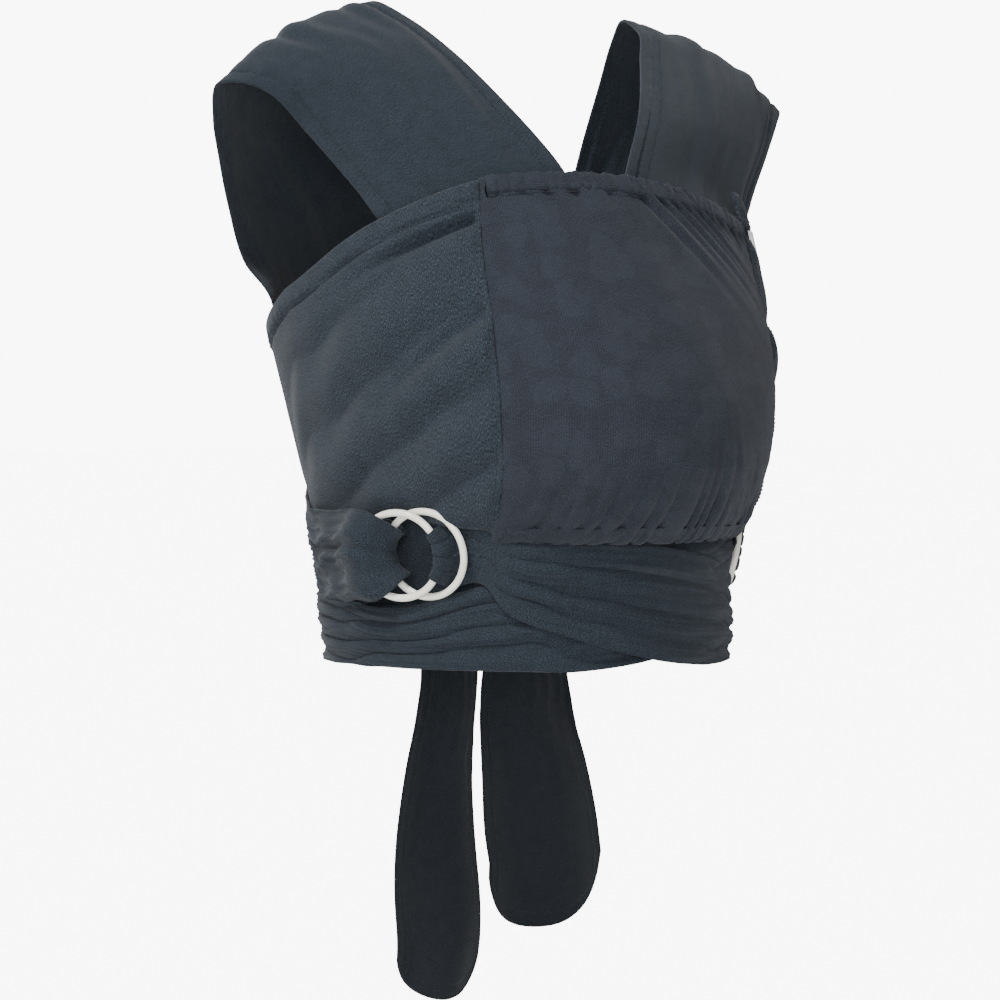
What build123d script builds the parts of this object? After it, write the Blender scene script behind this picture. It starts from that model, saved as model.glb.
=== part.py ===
"""A baby wrap sling, as it sits when it is worn: two long jersey bands, each with its own pair of rings,
and a gathered pouch panel with a wing at each side.

The wearer faces -Y and the wearer's right is -X. The origin is midway between the two shoulders, at the
height where the bands rest on them. Lengths are in millimetres.

Everything is wrapped round one egg-shaped form: the wearer's trunk with the child in front. A piece lies
on the form at a growth: 0 is the outer face of the pouch and wings, plus is further out, minus further in.
"""

import os
from math import acos, atan2, cos, degrees, hypot, radians, sin, sqrt

from build123d import *

# The form, from below the belt up: height, half width, depth to the back, depth to the front, centre.
FORM = (
    (-505, 151, 117, 166, 4),
    (-450, 158, 122, 172, 8),
    (-405, 163, 126, 180, 12),
    (-370, 168, 128, 228, 15),
    (-330, 177, 132, 254, 19),
    (-280, 186, 138, 258, 24),
    (-225, 198, 147, 242, 29),
    (-165, 200, 148, 213, 32),
    (-95, 198, 146, 182, 32),
)

# Cloth
jersey = 2.0  # the double jersey of the pouch and wings
band_cloth = 2.5  # a shoulder band
sash_cloth = 2.4  # a band where it is gathered round the waist
elastic_cloth = 1.2
lining_cloth = 1.4
layer_gap = 0.4  # between one layer of cloth and the next
seam_gap = 0.4  # between two pieces that a seam joins
clearance = 0.6  # between a ring's rod and the cloth round it

# Pouch panel, as heights and distances from the middle, seen from the front
pouch_half_width = 131
pouch_top_half_width = 121
pouch_bottom_half_width = 117
pouch_top = -113
pouch_right_drop = 2
pouch_left_drop = 31
pouch_widest = -250
pouch_bottom = -388
elastic_width = 11
pouch_hem = 3

# Wings, as heights
wing_front_top = -112
wing_side_top = -193
wing_back_top = -262
wing_back_bottom = -318
wing_bottom = -360
hem_width = 15
hem_rise = 1.2
facing_growth = -13.5
facing_top = -362
facing_bottom = -436
facing_ahead = -104
facing_behind = 32

# Rings
ring_radius = 32.75  # to the centre of the rod
rod = 5.5
ring_facing = 60.0  # how far each pair turns from straight ahead
ring_tilt = 3.0  # of one ring of a pair against the other
ring_lean = 9.0  # of the pair's upper edge away from the wearer
ring_spacing = 19.0  # between the two centres of a pair, along the belt
ring_step = 6.6  # between the two centres of a pair, outwards
ring_centre = (154, -77, -397)
loop_sweep = 90.0
loop_ease = 1.8  # extra room in the loops, for the rods' curve
fold_sweep = 60.0
fold_reach = 11.75  # from the rod's centre to the end of the fold
hip_height = 54
strap_height = 40

# Knot and tails
knot_size = (66, 30, 44)
knot_centre = (58, 145, -460)
wrap_width = 26
tail_cloth = 4.0
tail_face = 142
tail_top = -488
right_tail_end = -782
left_tail_end = -731

label_size = (14, 1.0, 20)

reach = 400  # longer than anything a prism has to cut through


def section(z):
    """The form's half width, back depth, front depth and centre at one height."""
    rows = sorted(FORM)
    z = min(max(z, rows[0][0]), rows[-1][0])
    for low, high in zip(rows, rows[1:]):
        if z <= high[0]:
            share = (z - low[0]) / (high[0] - low[0])
            return [a + share * (b - a) for a, b in zip(low[1:], high[1:])]
    return list(rows[-1][1:])


def on_form(angle, z, growth):
    """A point of the form. Angle 0 is straight ahead, 90 is the wearer's left and 180 the back."""
    half, back, front, centre = section(z)
    deep = front if cos(radians(angle)) > 0 else back
    across = (half + growth) * sin(radians(angle))
    return Vector(across, centre - (deep + growth) * cos(radians(angle)), z)


def form(growth, overrun=0):
    """The form as one solid, grown outwards, with its two ends further apart by an overrun."""
    ends = {FORM[0][0]: -overrun, FORM[-1][0]: overrun}
    with BuildPart() as body:
        for z, half, back, front, centre in FORM:
            with BuildSketch(Plane.XY.offset(z + ends.get(z, 0))):
                with BuildLine():
                    EllipticalCenterArc((0, centre), half + growth, back + growth, 0, arc_size=180)
                    EllipticalCenterArc((0, centre), half + growth, front + growth, 180, arc_size=180)
                make_face()
        loft(ruled=True)
    return body.part


def skin(inner, outer):
    """The form's skin between two growths."""
    return form(outer) - form(inner, overrun=5)


def strip(upper, middle, lower, cloth):
    """A band's cross section: an arc through three points, with the cloth's thickness behind it."""
    chord = lower - upper
    rise = middle - (upper + lower) * 0.5
    rise = rise - chord * (rise.dot(chord) / chord.dot(chord))
    span = chord.length
    bulge = rise.length
    with BuildSketch(Plane(origin=upper, x_dir=chord, z_dir=chord.cross(rise))) as cut:
        with BuildLine():
            ThreePointArc((0, 0), (span / 2, bulge), (span, 0))
            Line((span, 0), (span, -cloth))
            ThreePointArc((span, -cloth), (span / 2, bulge - cloth), (0, -cloth))
            Line((0, -cloth), (0, 0))
        make_face()
    return cut.sketch


def strip_on_form(side, upper, lower, growth, cloth):
    """A cross section that lies on the form, between two edges given as (angle, height)."""
    between = ((upper[0] + lower[0]) / 2, (upper[1] + lower[1]) / 2)
    points = [on_form(side * angle, z, growth) for angle, z in (upper, between, lower)]
    return strip(*points, cloth)


def strip_at_x(x, top, low, growth, cloth):
    """An upright cross section of the belt in front, on the plane at one x."""
    points = []
    for z in (top, (top + low) / 2, low):
        half, _, front, centre = section(z)
        share = x / (half + growth)
        points.append(Vector(x, centre - (front + growth) * sqrt(1 - share * share), z))
    return strip(*points, cloth)


def save(piece, name):
    """Labels a finished piece and writes it."""
    piece.label = name
    export_step(piece, f"parts/{name}.step")
    print(f"{name:24s} {piece.volume:9.0f} mm3  {len(piece.solids())} solid")


def pouch_outline(inset):
    """The pouch panel's edge, seen from the front."""
    low = pouch_bottom + inset
    right_top = (-pouch_top_half_width + inset, pouch_top - pouch_right_drop - inset)
    left_top = (pouch_top_half_width - inset, pouch_top - pouch_left_drop - inset)
    right_low = (-pouch_bottom_half_width + inset, low)
    left_low = (pouch_bottom_half_width - inset, low)
    with BuildSketch() as outline:
        with BuildLine():
            ThreePointArc(right_low, (-pouch_half_width + inset, pouch_widest), right_top)
            ThreePointArc(right_top, (-10, pouch_top - inset), left_top)
            ThreePointArc(left_top, (pouch_half_width - inset, pouch_widest), left_low)
            Line(left_low, right_low)
        make_face()
    return outline.sketch


def cut_out(layer_of_cloth, outline, ahead=True):
    """The part of a layer of cloth that lies inside an outline, in front of the side line or behind it."""
    side_line = 12
    with BuildPart() as piece:
        add(layer_of_cloth)
        with BuildSketch(Plane.XZ.offset(-side_line)):
            add(outline)
        extrude(amount=reach if ahead else -reach, mode=Mode.INTERSECT)
    return piece.part


os.makedirs("parts", exist_ok=True)

# Pouch: the panel, the elastics in its two channels, and the lining
panel_skin = skin(-jersey, 0)
save(cut_out(panel_skin, pouch_outline(0)), "pouch_panel")

elastic_outer = -jersey - layer_gap
elastic_skin = skin(elastic_outer - elastic_cloth, elastic_outer)
right_end = (pouch_hem - pouch_top_half_width, pouch_top - pouch_right_drop - pouch_hem)
left_end = (pouch_top_half_width - pouch_hem, pouch_top - pouch_left_drop - pouch_hem)
with BuildSketch() as top_channel:
    with BuildLine():
        ThreePointArc(right_end, (-10, pouch_top - pouch_hem), left_end)
        Line(left_end, (left_end[0], left_end[1] - elastic_width))
        ThreePointArc(
            (left_end[0], left_end[1] - elastic_width),
            (-10, pouch_top - pouch_hem - elastic_width),
            (right_end[0], right_end[1] - elastic_width),
        )
        Line((right_end[0], right_end[1] - elastic_width), right_end)
    make_face()
save(cut_out(elastic_skin, top_channel.sketch), "pouch_top_elastic")

with BuildSketch() as bottom_channel:
    add(pouch_outline(pouch_hem))
    with Locations((0, pouch_bottom + pouch_hem + elastic_width / 2)):
        Rectangle(reach, elastic_width, mode=Mode.INTERSECT)
save(cut_out(elastic_skin, bottom_channel.sketch), "pouch_bottom_elastic")

lining_outer = elastic_outer - elastic_cloth - layer_gap
lining_inner = lining_outer - lining_cloth
save(cut_out(skin(lining_inner, lining_outer), pouch_outline(2 * pouch_hem)), "pouch_lining")

# Wings, drawn from the side: from the seam at the pouch round to the seam in the middle of the back
front_limit = -240
back_limit = 200


def wing_outline(drop):
    """A wing's edge seen from the side, with its upper edge lowered by a drop."""
    with BuildSketch() as outline:
        with BuildLine():
            Spline(
                (front_limit, wing_front_top + 30 - drop),
                (-124, wing_front_top - drop),
                (-62, -146 - drop),
                (27, wing_side_top - drop),
                (80, -219 - drop),
                (back_limit, wing_back_top - drop),
            )
            Line((back_limit, wing_back_top - drop), (back_limit, wing_back_bottom))
            Spline(
                (back_limit, wing_back_bottom),
                (147, wing_back_bottom - 4),
                (90, -350),
                (55, -367),
                (10, wing_bottom),
                tangents=[(-1, 0), (-1, 0)],
            )
            Line((10, wing_bottom), (front_limit, wing_bottom))
            Line((front_limit, wing_bottom), (front_limit, wing_front_top + 30 - drop))
        make_face()
    return outline.sketch


def wing(side, layer_of_cloth, outline):
    """The part of a layer of cloth beside the pouch, on one side, inside an outline."""
    with BuildPart() as piece:
        add(layer_of_cloth)
        with BuildSketch(Plane.YZ.offset(side * seam_gap / 2)):
            add(outline)
        extrude(amount=side * reach, mode=Mode.INTERSECT)
        with BuildSketch(Plane.XZ):
            add(pouch_outline(-seam_gap))
            with Locations((0, 0)):
                Rectangle(2 * pouch_top_half_width - 10, 2 * abs(pouch_top) + 80)
        extrude(amount=reach, mode=Mode.SUBTRACT)
    return piece.part


with BuildSketch() as hem_strip:
    add(wing_outline(0))
    add(wing_outline(hem_width), mode=Mode.SUBTRACT)
hem_skin = skin(-jersey, hem_rise)
for side, name in ((-1, "right"), (1, "left")):
    save(wing(side, panel_skin, wing_outline(hem_width + seam_gap)), f"{name}_wing")
    save(wing(side, hem_skin, hem_strip.sketch), f"{name}_wing_hem")

# The facings: the lower end of each wing, tucked behind the belt and the rings
facing_skin = skin(facing_growth - jersey, facing_growth)
for side, name in ((-1, "right"), (1, "left")):
    with BuildPart() as wing_facing:
        add(facing_skin)
        with BuildSketch(Plane.YZ.offset(side * 40)):
            with Locations(((facing_ahead + facing_behind) / 2, (facing_top + facing_bottom) / 2)):
                Rectangle(facing_behind - facing_ahead, facing_top - facing_bottom)
        extrude(amount=side * reach, mode=Mode.INTERSECT)
    save(wing_facing.part, f"{name}_wing_facing")

# Shoulder bands, lying a little differently at each shoulder. Each row: the edge by the neck, the edge by
# the arm, as (distance from the middle, y, z), and how far the cloth between them stands proud.
SHOULDER = {
    -1: (
        ((62, -133, -99), (185, -42, -119), 12),
        ((80, -98, -58), (209, -17, -80), 17),
        ((96, -44, -12), (238, -8, -50), 18),
        ((108, -4, 15), (258, 6, -42), 15),
        ((120, 25, 30), (266, 22, -44), 14),
        ((121, 58, 17), (256, 44, -66), 15),
        ((108, 92, -8), (240, 62, -98), 17),
        ((90, 120, -42), (222, 79, -132), 18),
        ((62, 139, -92), (200, 92, -174), 14),
    ),
    1: (
        ((2, -140, -99), (200, -46, -120), 14),
        ((40, -103, -56), (236, -22, -80), 20),
        ((86, -44, -10), (258, -10, -50), 20),
        ((114, -4, 20), (274, 6, -38), 16),
        ((121, 25, 32), (280, 22, -40), 14),
        ((133, 56, 18), (272, 46, -58), 14),
        ((145, 90, -16), (254, 64, -92), 16),
        ((147, 116, -62), (232, 84, -128), 14),
        ((145, 133, -108), (202, 92, -166), 10),
    ),
}
chest_growth = {-1: lining_inner - layer_gap, 1: lining_inner - 2 * layer_gap - band_cloth}
back_growth = {-1: -jersey - layer_gap, 1: -jersey - 2 * layer_gap - band_cloth}


def shoulder_strip(side, neck, arm, proud):
    """A cross section of a shoulder band, bulging away from the wearer."""
    upper = Vector(side * neck[0], neck[1], neck[2])
    lower = Vector(side * arm[0], arm[1], arm[2])
    middle = (upper + lower) * 0.5
    outward = Vector(side * 0.45, (middle.Y - 30) / 120, 1 + min(0, middle.Z / 100))
    chord = (lower - upper).normalized()
    outward = (outward - chord * outward.dot(chord)).normalized()
    return strip(upper, middle + outward * proud, lower, band_cloth)


FRONT_NECK = {-1: (15, -132), 1: (-6, -132)}  # where the neck edge goes behind the pouch: angle and height
BACK_NECK = {-1: (169, -146), 1: (143, -180)}  # where it comes to the back
for side, name in ((-1, "right"), (1, "left")):
    front_end = strip_on_form(side, FRONT_NECK[side], (65, -153), chest_growth[side], band_cloth)
    back_end = strip_on_form(side, BACK_NECK[side], (115, -224), back_growth[side] - 1.5, band_cloth)
    with BuildPart() as shoulder_band:
        loft([front_end] + [shoulder_strip(side, *row) for row in SHOULDER[side]] + [back_end])
    save(shoulder_band.part, f"{name}_shoulder_band")

# The same bands behind the pouch, down to the other hip, and across the back: distance from the middle
# towards the band's own shoulder, and height, along the upper edge and back along the lower edge.
CHEST_UPPER = {
    -1: ((50, -133), (20, -160), (-30, -215), (-75, -280), (-105, -335), (-119, -356)),
    1: ((-18, -133), (-35, -160), (-62, -215), (-90, -280), (-108, -335), (-119, -356)),
}
CHEST_LOWER = ((-112, -388), (-70, -378), (-20, -340), (60, -275), (130, -205), (176, -154.5))
BACK_UPPER = {
    -1: ((37, -149.5), (5, -178), (-40, -222), (-80, -266), (-112, -307), (-138, -344)),
    1: ((117, -183.5), (85, -213), (25, -252), (-35, -284), (-95, -318), (-138, -344)),
}
BACK_LOWER = ((-140, -402), (-85, -378), (-25, -345), (60, -304), (120, -265), (178, -228.5))


def band_outline(side, upper, lower):
    """A band seen from the front, between its two edges."""
    upper = [(side * x, z) for x, z in upper]
    lower = [(side * x, z) for x, z in lower]
    with BuildSketch() as outline:
        with BuildLine():
            Spline(*upper)
            Line(upper[-1], lower[0])
            Spline(*lower)
            Line(lower[-1], upper[0])
        make_face()
    return outline.sketch


for side, name in ((-1, "right"), (1, "left")):
    growth = chest_growth[side]
    chest_skin = skin(growth - band_cloth, growth)
    save(cut_out(chest_skin, band_outline(side, CHEST_UPPER[side], CHEST_LOWER)), f"{name}_chest_band")
    growth = back_growth[side]
    back_skin = skin(growth - band_cloth, growth)
    save(cut_out(back_skin, band_outline(side, BACK_UPPER[side], BACK_LOWER), ahead=False), f"{name}_back_band")


# Belt. Layers outwards: the strap to the rings, the left sash, the right sash.
strap_growth = sash_cloth
sash_growth = {1: 2 * (layer_gap + sash_cloth), -1: 3 * (layer_gap + sash_cloth)}
lead_end = 104
LEAD_EDGES = (-391, -431)
SASH_UPPER = ((103.5, -392), (60, -393), (10, -398), (-50, -412), (-100, -433), (-140, -439), (-reach, -440))
SASH_LOWER = ((-reach, -483), (-130, -483), (-60, -482), (0, -476), (55, -456), (103.5, -432))
sash_end = {-1: 99, 1: 26}


# Hips. Directions at a pair of rings: ahead along the belt, outwards from the hip, and up.
def hip_axes(side):
    """The pair's own directions: ahead along the belt, outwards, and up."""
    turn = radians(ring_facing)
    lean = radians(ring_lean)
    level = Vector(side * sin(turn), -cos(turn), 0)
    along = Vector(-side * cos(turn), -sin(turn), 0)
    upright = Vector(0, 0, 1)
    return along, level * cos(lean) - upright * sin(lean), upright * cos(lean) + level * sin(lean)


def at_hip(side, ahead, outward, higher):
    """A point given from the middle of a pair of rings."""
    along, out, up = hip_axes(side)
    middle = Vector(side * ring_centre[0], ring_centre[1], ring_centre[2])
    return middle + along * ahead + out * outward + up * higher


def hip_strip(side, ahead, outward, height, cloth):
    """An upright cross section near the rings."""
    upper = at_hip(side, ahead, outward, height / 2)
    middle = at_hip(side, ahead, outward + 0.6, 0)
    return strip(upper, middle, at_hip(side, ahead, outward, -height / 2), cloth)


def tangent_point(radius, end, turn):
    """Where a line from an end point touches a circle round the origin."""
    angle = atan2(end[1], end[0]) + turn * acos(radius / hypot(*end))
    return radius * cos(angle), radius * sin(angle)


tilt = radians(ring_tilt)
inner_wall = rod / 2 + clearance
outer_wall = inner_wall + sash_cloth
fold_drop = -6.9  # the outer face of the fold where it leaves, from the rod's centre

for side, name in ((-1, "right"), (1, "left")):
    along, out, up = hip_axes(side)
    outer_centre = at_hip(side, -ring_spacing / 2, ring_step / 2, 0)
    inner_centre = at_hip(side, ring_spacing / 2, -ring_step / 2, 0)
    outer_normal = out * cos(tilt) + along * sin(tilt)
    inner_normal = out * cos(tilt) - along * sin(tilt)

    for label, centre, normal in (("outer", outer_centre, outer_normal), ("inner", inner_centre, inner_normal)):
        with BuildPart(Plane(origin=centre, z_dir=normal)) as ring:
            Torus(ring_radius, rod / 2)
        save(ring.part, f"{name}_{label}_ring")

    # The sewn loop that holds both rings, swept round the middle of the pair
    pair_middle = at_hip(side, 0, 0, 0)
    start = along * -cos(radians(loop_sweep / 2)) - up * side * sin(radians(loop_sweep / 2))
    lift = ring_radius * sin(tilt) + ring_step / 2
    far_rod = (ring_radius + ring_spacing / 2 - loop_ease, lift - 0.3)
    near_rod = (ring_radius - ring_spacing / 2 + loop_ease, 0.2 - lift)
    reach_between = hypot(far_rod[0] - near_rod[0], far_rod[1] - near_rod[1])
    slope = degrees(atan2(far_rod[1] - near_rod[1], far_rod[0] - near_rod[0]))
    room = 2 * (inner_wall + loop_ease)
    with BuildPart() as ring_loop:
        with BuildSketch(Plane(origin=pair_middle, x_dir=start, z_dir=start.cross(out))):
            with Locations(((far_rod[0] + near_rod[0]) / 2, (far_rod[1] + near_rod[1]) / 2)):
                SlotCenterToCenter(reach_between, room + 2 * sash_cloth, rotation=slope)
                SlotCenterToCenter(reach_between, room, rotation=slope, mode=Mode.SUBTRACT)
        revolve(axis=Axis(pair_middle, out), revolution_arc=loop_sweep)
    save(ring_loop.part, f"{name}_ring_loop")

    # The fold: the band comes up through both rings and turns back over the front arc of the outer one
    ahead_of_ring = along * cos(tilt) - out * sin(tilt)
    start = ahead_of_ring * cos(radians(fold_sweep / 2)) + up * side * sin(radians(fold_sweep / 2))
    ends = [(fold_reach, fold_drop - step) for step in (0, sash_cloth, sash_cloth + layer_gap)]
    ends.append((fold_reach, fold_drop - 2 * sash_cloth - layer_gap))
    touches = [
        tangent_point(outer_wall, ends[0], 1),
        tangent_point(inner_wall, ends[1], 1),
        tangent_point(inner_wall, ends[2], -1),
        tangent_point(outer_wall, ends[3], -1),
    ]
    with BuildPart() as ring_fold:
        fold_plane = Plane(origin=outer_centre, x_dir=start, z_dir=start.cross(outer_normal))
        with BuildSketch(Plane(origin=fold_plane.from_local_coords((ring_radius, 0, 0)),
                               x_dir=fold_plane.x_dir, z_dir=fold_plane.z_dir)):
            with BuildLine():
                Line(ends[0], touches[0])
                ThreePointArc(touches[0], (-outer_wall, 0), touches[3])
                Line(touches[3], ends[3])
                Line(ends[3], ends[2])
                Line(ends[2], touches[2])
                ThreePointArc(touches[2], (-inner_wall, 0), touches[1])
                Line(touches[1], ends[1])
                Line(ends[1], ends[0])
            make_face()
        revolve(axis=Axis(outer_centre, outer_normal), revolution_arc=fold_sweep)
    save(ring_fold.part, f"{name}_ring_fold")

    # The hip band, from the ring loop round to the back, where it meets the band from the other shoulder
    with BuildPart() as hip_band:
        loft([
            hip_strip(side, -47, -2.2, hip_height, 5),
            hip_strip(side, -53, -5, hip_height, 5),
            strip_on_form(side, (90, -366), (90, -433), 6, 4),
            strip_on_form(side, (104, -364), (104, -431), 4.2, 3.4),
            strip_on_form(side, (118, -355), (118, -420), 3.6, 3),
            strip_on_form(side, (126.6, -345), (124.6, -404), 3.4, 3),
        ])
    save(hip_band.part, f"{name}_hip_band")

    # The strap that comes to the fold and the sash that leaves it, as far as where they lie on the belt
    fold_end = ring_radius + fold_reach + layer_gap
    sash_face = ring_step / 2 - sin(tilt) * fold_end + fold_drop
    strap_face = sash_face - sash_cloth - layer_gap
    leads = (
        ("inner_strap", strap_face, strap_face - 1.5, strap_growth),
        ("sash_lead", sash_face, sash_face, sash_growth[side]),
    )
    top, low = LEAD_EDGES
    for part_name, face, next_face, growth in leads:
        with BuildPart() as lead:
            loft([
                hip_strip(side, 28, face, strap_height, sash_cloth),
                hip_strip(side, 44, next_face, strap_height, sash_cloth),
                strip_at_x(side * (lead_end + 12), top - 1, low + 1, growth, sash_cloth),
                strip_at_x(side * lead_end, top, low, growth, sash_cloth),
            ])
            with BuildSketch(Plane(origin=outer_centre, z_dir=outer_normal)):
                Circle(fold_end)
            extrude(amount=40, both=True, mode=Mode.SUBTRACT)
        save(lead.part, f"{name}_{part_name}")

# The sashes: across the front under the pouch, under the other hip's rings and round to the knot
for side, name in ((-1, "right"), (1, "left")):
    growth = sash_growth[side]
    sash_skin = skin(growth - sash_cloth, growth)
    save(cut_out(sash_skin, band_outline(side, SASH_UPPER, SASH_LOWER)), f"{name}_front_sash")
    with BuildSketch() as back_outline:
        with BuildLine():
            Polyline(
                (-side * reach, SASH_UPPER[-1][1]),
                (sash_end[side], SASH_UPPER[-1][1] - 4),
                (sash_end[side], SASH_LOWER[0][1]),
                (-side * reach, SASH_LOWER[0][1]),
                close=True,
            )
        make_face()
    save(cut_out(sash_skin, back_outline.sketch, ahead=False), f"{name}_back_sash")

# Knot, and the two tails that hang from it
with BuildPart(Plane(origin=knot_centre)) as back_knot:
    Box(*knot_size)
    fillet(back_knot.edges(), 12)
save(back_knot.part, "back_knot")

with BuildPart() as knot_wrap:
    with BuildSketch(Plane(origin=knot_centre, x_dir=(0, 1, 0), z_dir=(1, 0, 0))):
        RectangleRounded(knot_size[1] + 2 * layer_gap + 6, knot_size[2] + 2 * layer_gap + 6, 15)
        RectangleRounded(knot_size[1] + 2 * layer_gap, knot_size[2] + 2 * layer_gap, 12, mode=Mode.SUBTRACT)
    extrude(amount=wrap_width / 2, both=True)
save(knot_wrap.part, "knot_wrap")

RIGHT_TAIL = ((0, 0), (-13, -85), (-29, -185), (-17, -250))
RIGHT_TAIL_BACK = ((61, -225), (60, -110), (59, 0))
LEFT_TAIL = ((65, 0), (66, -90), (67, -150), (84, -205))
LEFT_TAIL_BACK = ((184, -170), (168, -90), (151, 0))
tails = (
    ("right_tail", RIGHT_TAIL, (27, right_tail_end - tail_top), RIGHT_TAIL_BACK),
    ("left_tail", LEFT_TAIL, (131, left_tail_end - tail_top), LEFT_TAIL_BACK),
)
for name, edge, tip, edge_back in tails:
    with BuildPart() as tail:
        with BuildSketch(Plane(origin=(-5, tail_face, tail_top), x_dir=(1, 0, 0), z_dir=(0, -1, 0))):
            with BuildLine():
                Spline(*edge, tip, *edge_back)
                Line(edge_back[-1], edge[0])
            make_face()
        extrude(amount=tail_cloth / 2, both=True)
    save(tail.part, name)

# The side label, blank, on the left wing beside the seam
label_angle = 42.5
label_height = -157
label_low = on_form(label_angle, label_height - label_size[2] / 2, 0)
label_high = on_form(label_angle, label_height + label_size[2] / 2, 0)
label_along = on_form(label_angle + 1, label_height, 0) - on_form(label_angle - 1, label_height, 0)
label_out = label_along.cross(label_high - label_low).normalized()
label_middle = (label_low + label_high) * 0.5 + label_out * (layer_gap + label_size[1])
with BuildPart(Plane(origin=label_middle, x_dir=label_along, z_dir=label_high - label_low)) as side_label:
    Box(*label_size)
save(side_label.part, "side_label")
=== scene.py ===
# %% [markdown]
# # A baby wrap sling, dressed over its CAD frame
# The sling is two long jersey bands, a gathered pouch with a wing at each side, and two pairs of rings.
# The frame gives every hard part its place. Cloth is made here as curved sheets: each sheet starts as a
# flat grid, its points are moved to where the cloth lies when the sling is worn, and then it gets folds,
# a hem and a thickness. That is quicker to steer than a cloth simulation, and gives the same folds each run.

# %%
# Load the frame
import math

import bpy
import numpy as np
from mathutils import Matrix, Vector


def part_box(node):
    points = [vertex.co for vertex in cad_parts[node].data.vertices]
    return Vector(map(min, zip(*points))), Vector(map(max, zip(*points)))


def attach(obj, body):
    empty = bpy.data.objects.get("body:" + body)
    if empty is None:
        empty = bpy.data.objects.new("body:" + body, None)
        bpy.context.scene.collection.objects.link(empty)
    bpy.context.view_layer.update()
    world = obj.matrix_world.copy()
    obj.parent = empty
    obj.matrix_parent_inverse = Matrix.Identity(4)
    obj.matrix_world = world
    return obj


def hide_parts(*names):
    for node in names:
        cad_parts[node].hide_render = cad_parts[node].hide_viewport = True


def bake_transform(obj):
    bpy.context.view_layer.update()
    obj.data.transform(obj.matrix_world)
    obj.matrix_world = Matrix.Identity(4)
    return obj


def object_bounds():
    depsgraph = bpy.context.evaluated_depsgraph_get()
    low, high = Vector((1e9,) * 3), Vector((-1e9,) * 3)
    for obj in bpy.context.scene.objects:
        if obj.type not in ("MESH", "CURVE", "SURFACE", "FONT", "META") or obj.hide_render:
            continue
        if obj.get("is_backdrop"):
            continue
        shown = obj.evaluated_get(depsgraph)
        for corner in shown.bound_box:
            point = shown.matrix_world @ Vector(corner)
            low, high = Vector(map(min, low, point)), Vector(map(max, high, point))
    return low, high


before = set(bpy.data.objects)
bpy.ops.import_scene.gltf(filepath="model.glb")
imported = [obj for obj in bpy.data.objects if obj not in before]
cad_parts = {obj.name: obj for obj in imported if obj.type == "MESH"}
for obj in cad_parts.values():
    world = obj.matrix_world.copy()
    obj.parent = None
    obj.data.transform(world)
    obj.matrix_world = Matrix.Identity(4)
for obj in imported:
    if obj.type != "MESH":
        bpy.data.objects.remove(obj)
cad_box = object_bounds()
RIGHT, LEFT = -1, 1
NAMES = {RIGHT: "right", LEFT: "left"}
print("frame", [round(v, 3) for v in cad_box[0]], [round(v, 3) for v in cad_box[1]])

# %% [markdown]
# ## The camera and the light
# The camera stands a little to the wearer's right, almost level with the pouch, and looks at its middle.
# Big soft lamps and a pale floor keep the dark jersey readable without hard shadows.

# %%
# Camera
turn, rise, distance = math.radians(-35.0), math.radians(2.0), 2.5
aim_aside, aim_height, view_width = -0.016, -0.361, 0.8
back = Vector((math.sin(turn) * math.cos(rise), -math.cos(turn) * math.cos(rise), math.sin(rise)))
sideways = Vector((math.cos(turn), math.sin(turn), 0))
camera_data = bpy.data.cameras.new("camera")
camera = bpy.data.objects.new("camera", camera_data)
bpy.context.collection.objects.link(camera)
camera.location = sideways * aim_aside + Vector((0, 0, aim_height)) + back * distance
camera.rotation_euler = (-back).to_track_quat("-Z", "Y").to_euler()
camera_data.sensor_width = 36
camera_data.lens = 36 * distance / view_width
bpy.context.scene.camera = camera

# %%
# Light and floor
WORLD_LIGHT, BACKDROP_GLOW, FLOOR_GLOW = 0.6, 9.0, 8.6


def seen_apart(tree, lit, shown, surface):
    """Joins two shaders: one that gives the light, and a bright one that only the eye sees."""
    path = tree.nodes.new("ShaderNodeLightPath")
    either = tree.nodes.new("ShaderNodeMixShader")
    for source, target in ((path.outputs["Is Camera Ray"], either.inputs[0]), (lit, either.inputs[1]),
                           (shown, either.inputs[2]), (either.outputs[0], surface)):
        tree.links.new(source, target)


world = bpy.data.worlds.new("studio")
bpy.context.scene.world = world
world.use_nodes = True
sky = world.node_tree.nodes
sky["Background"].inputs["Color"].default_value = (0.93, 0.95, 1.0, 1)
sky["Background"].inputs["Strength"].default_value = WORLD_LIGHT
backdrop = sky.new("ShaderNodeBackground")
backdrop.inputs["Color"].default_value = (1, 1, 1, 1)
backdrop.inputs["Strength"].default_value = BACKDROP_GLOW
seen_apart(world.node_tree, sky["Background"].outputs[0], backdrop.outputs[0],
           sky["World Output"].inputs["Surface"])


def soft_lamp(name, place, aim, power, size):
    """A square soft lamp that shines from a place towards a point."""
    lamp = bpy.data.lights.new(name, "AREA")
    lamp.energy = power
    lamp.size = size
    holder = bpy.data.objects.new(name, lamp)
    bpy.context.collection.objects.link(holder)
    holder.location = place
    holder.rotation_euler = (Vector(aim) - Vector(place)).to_track_quat("-Z", "Y").to_euler()


soft_lamp("key_lamp", (-1.9, -0.7, 2.3), (0, 0, -0.3), 125, 0.7)
soft_lamp("fill_lamp", (-2.0, -2.3, 0.1), (0, 0, -0.3), 64, 1.2)
soft_lamp("rim_lamp", (0.3, 2.6, 1.1), (0, 0, -0.2), 60, 1.5)

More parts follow.
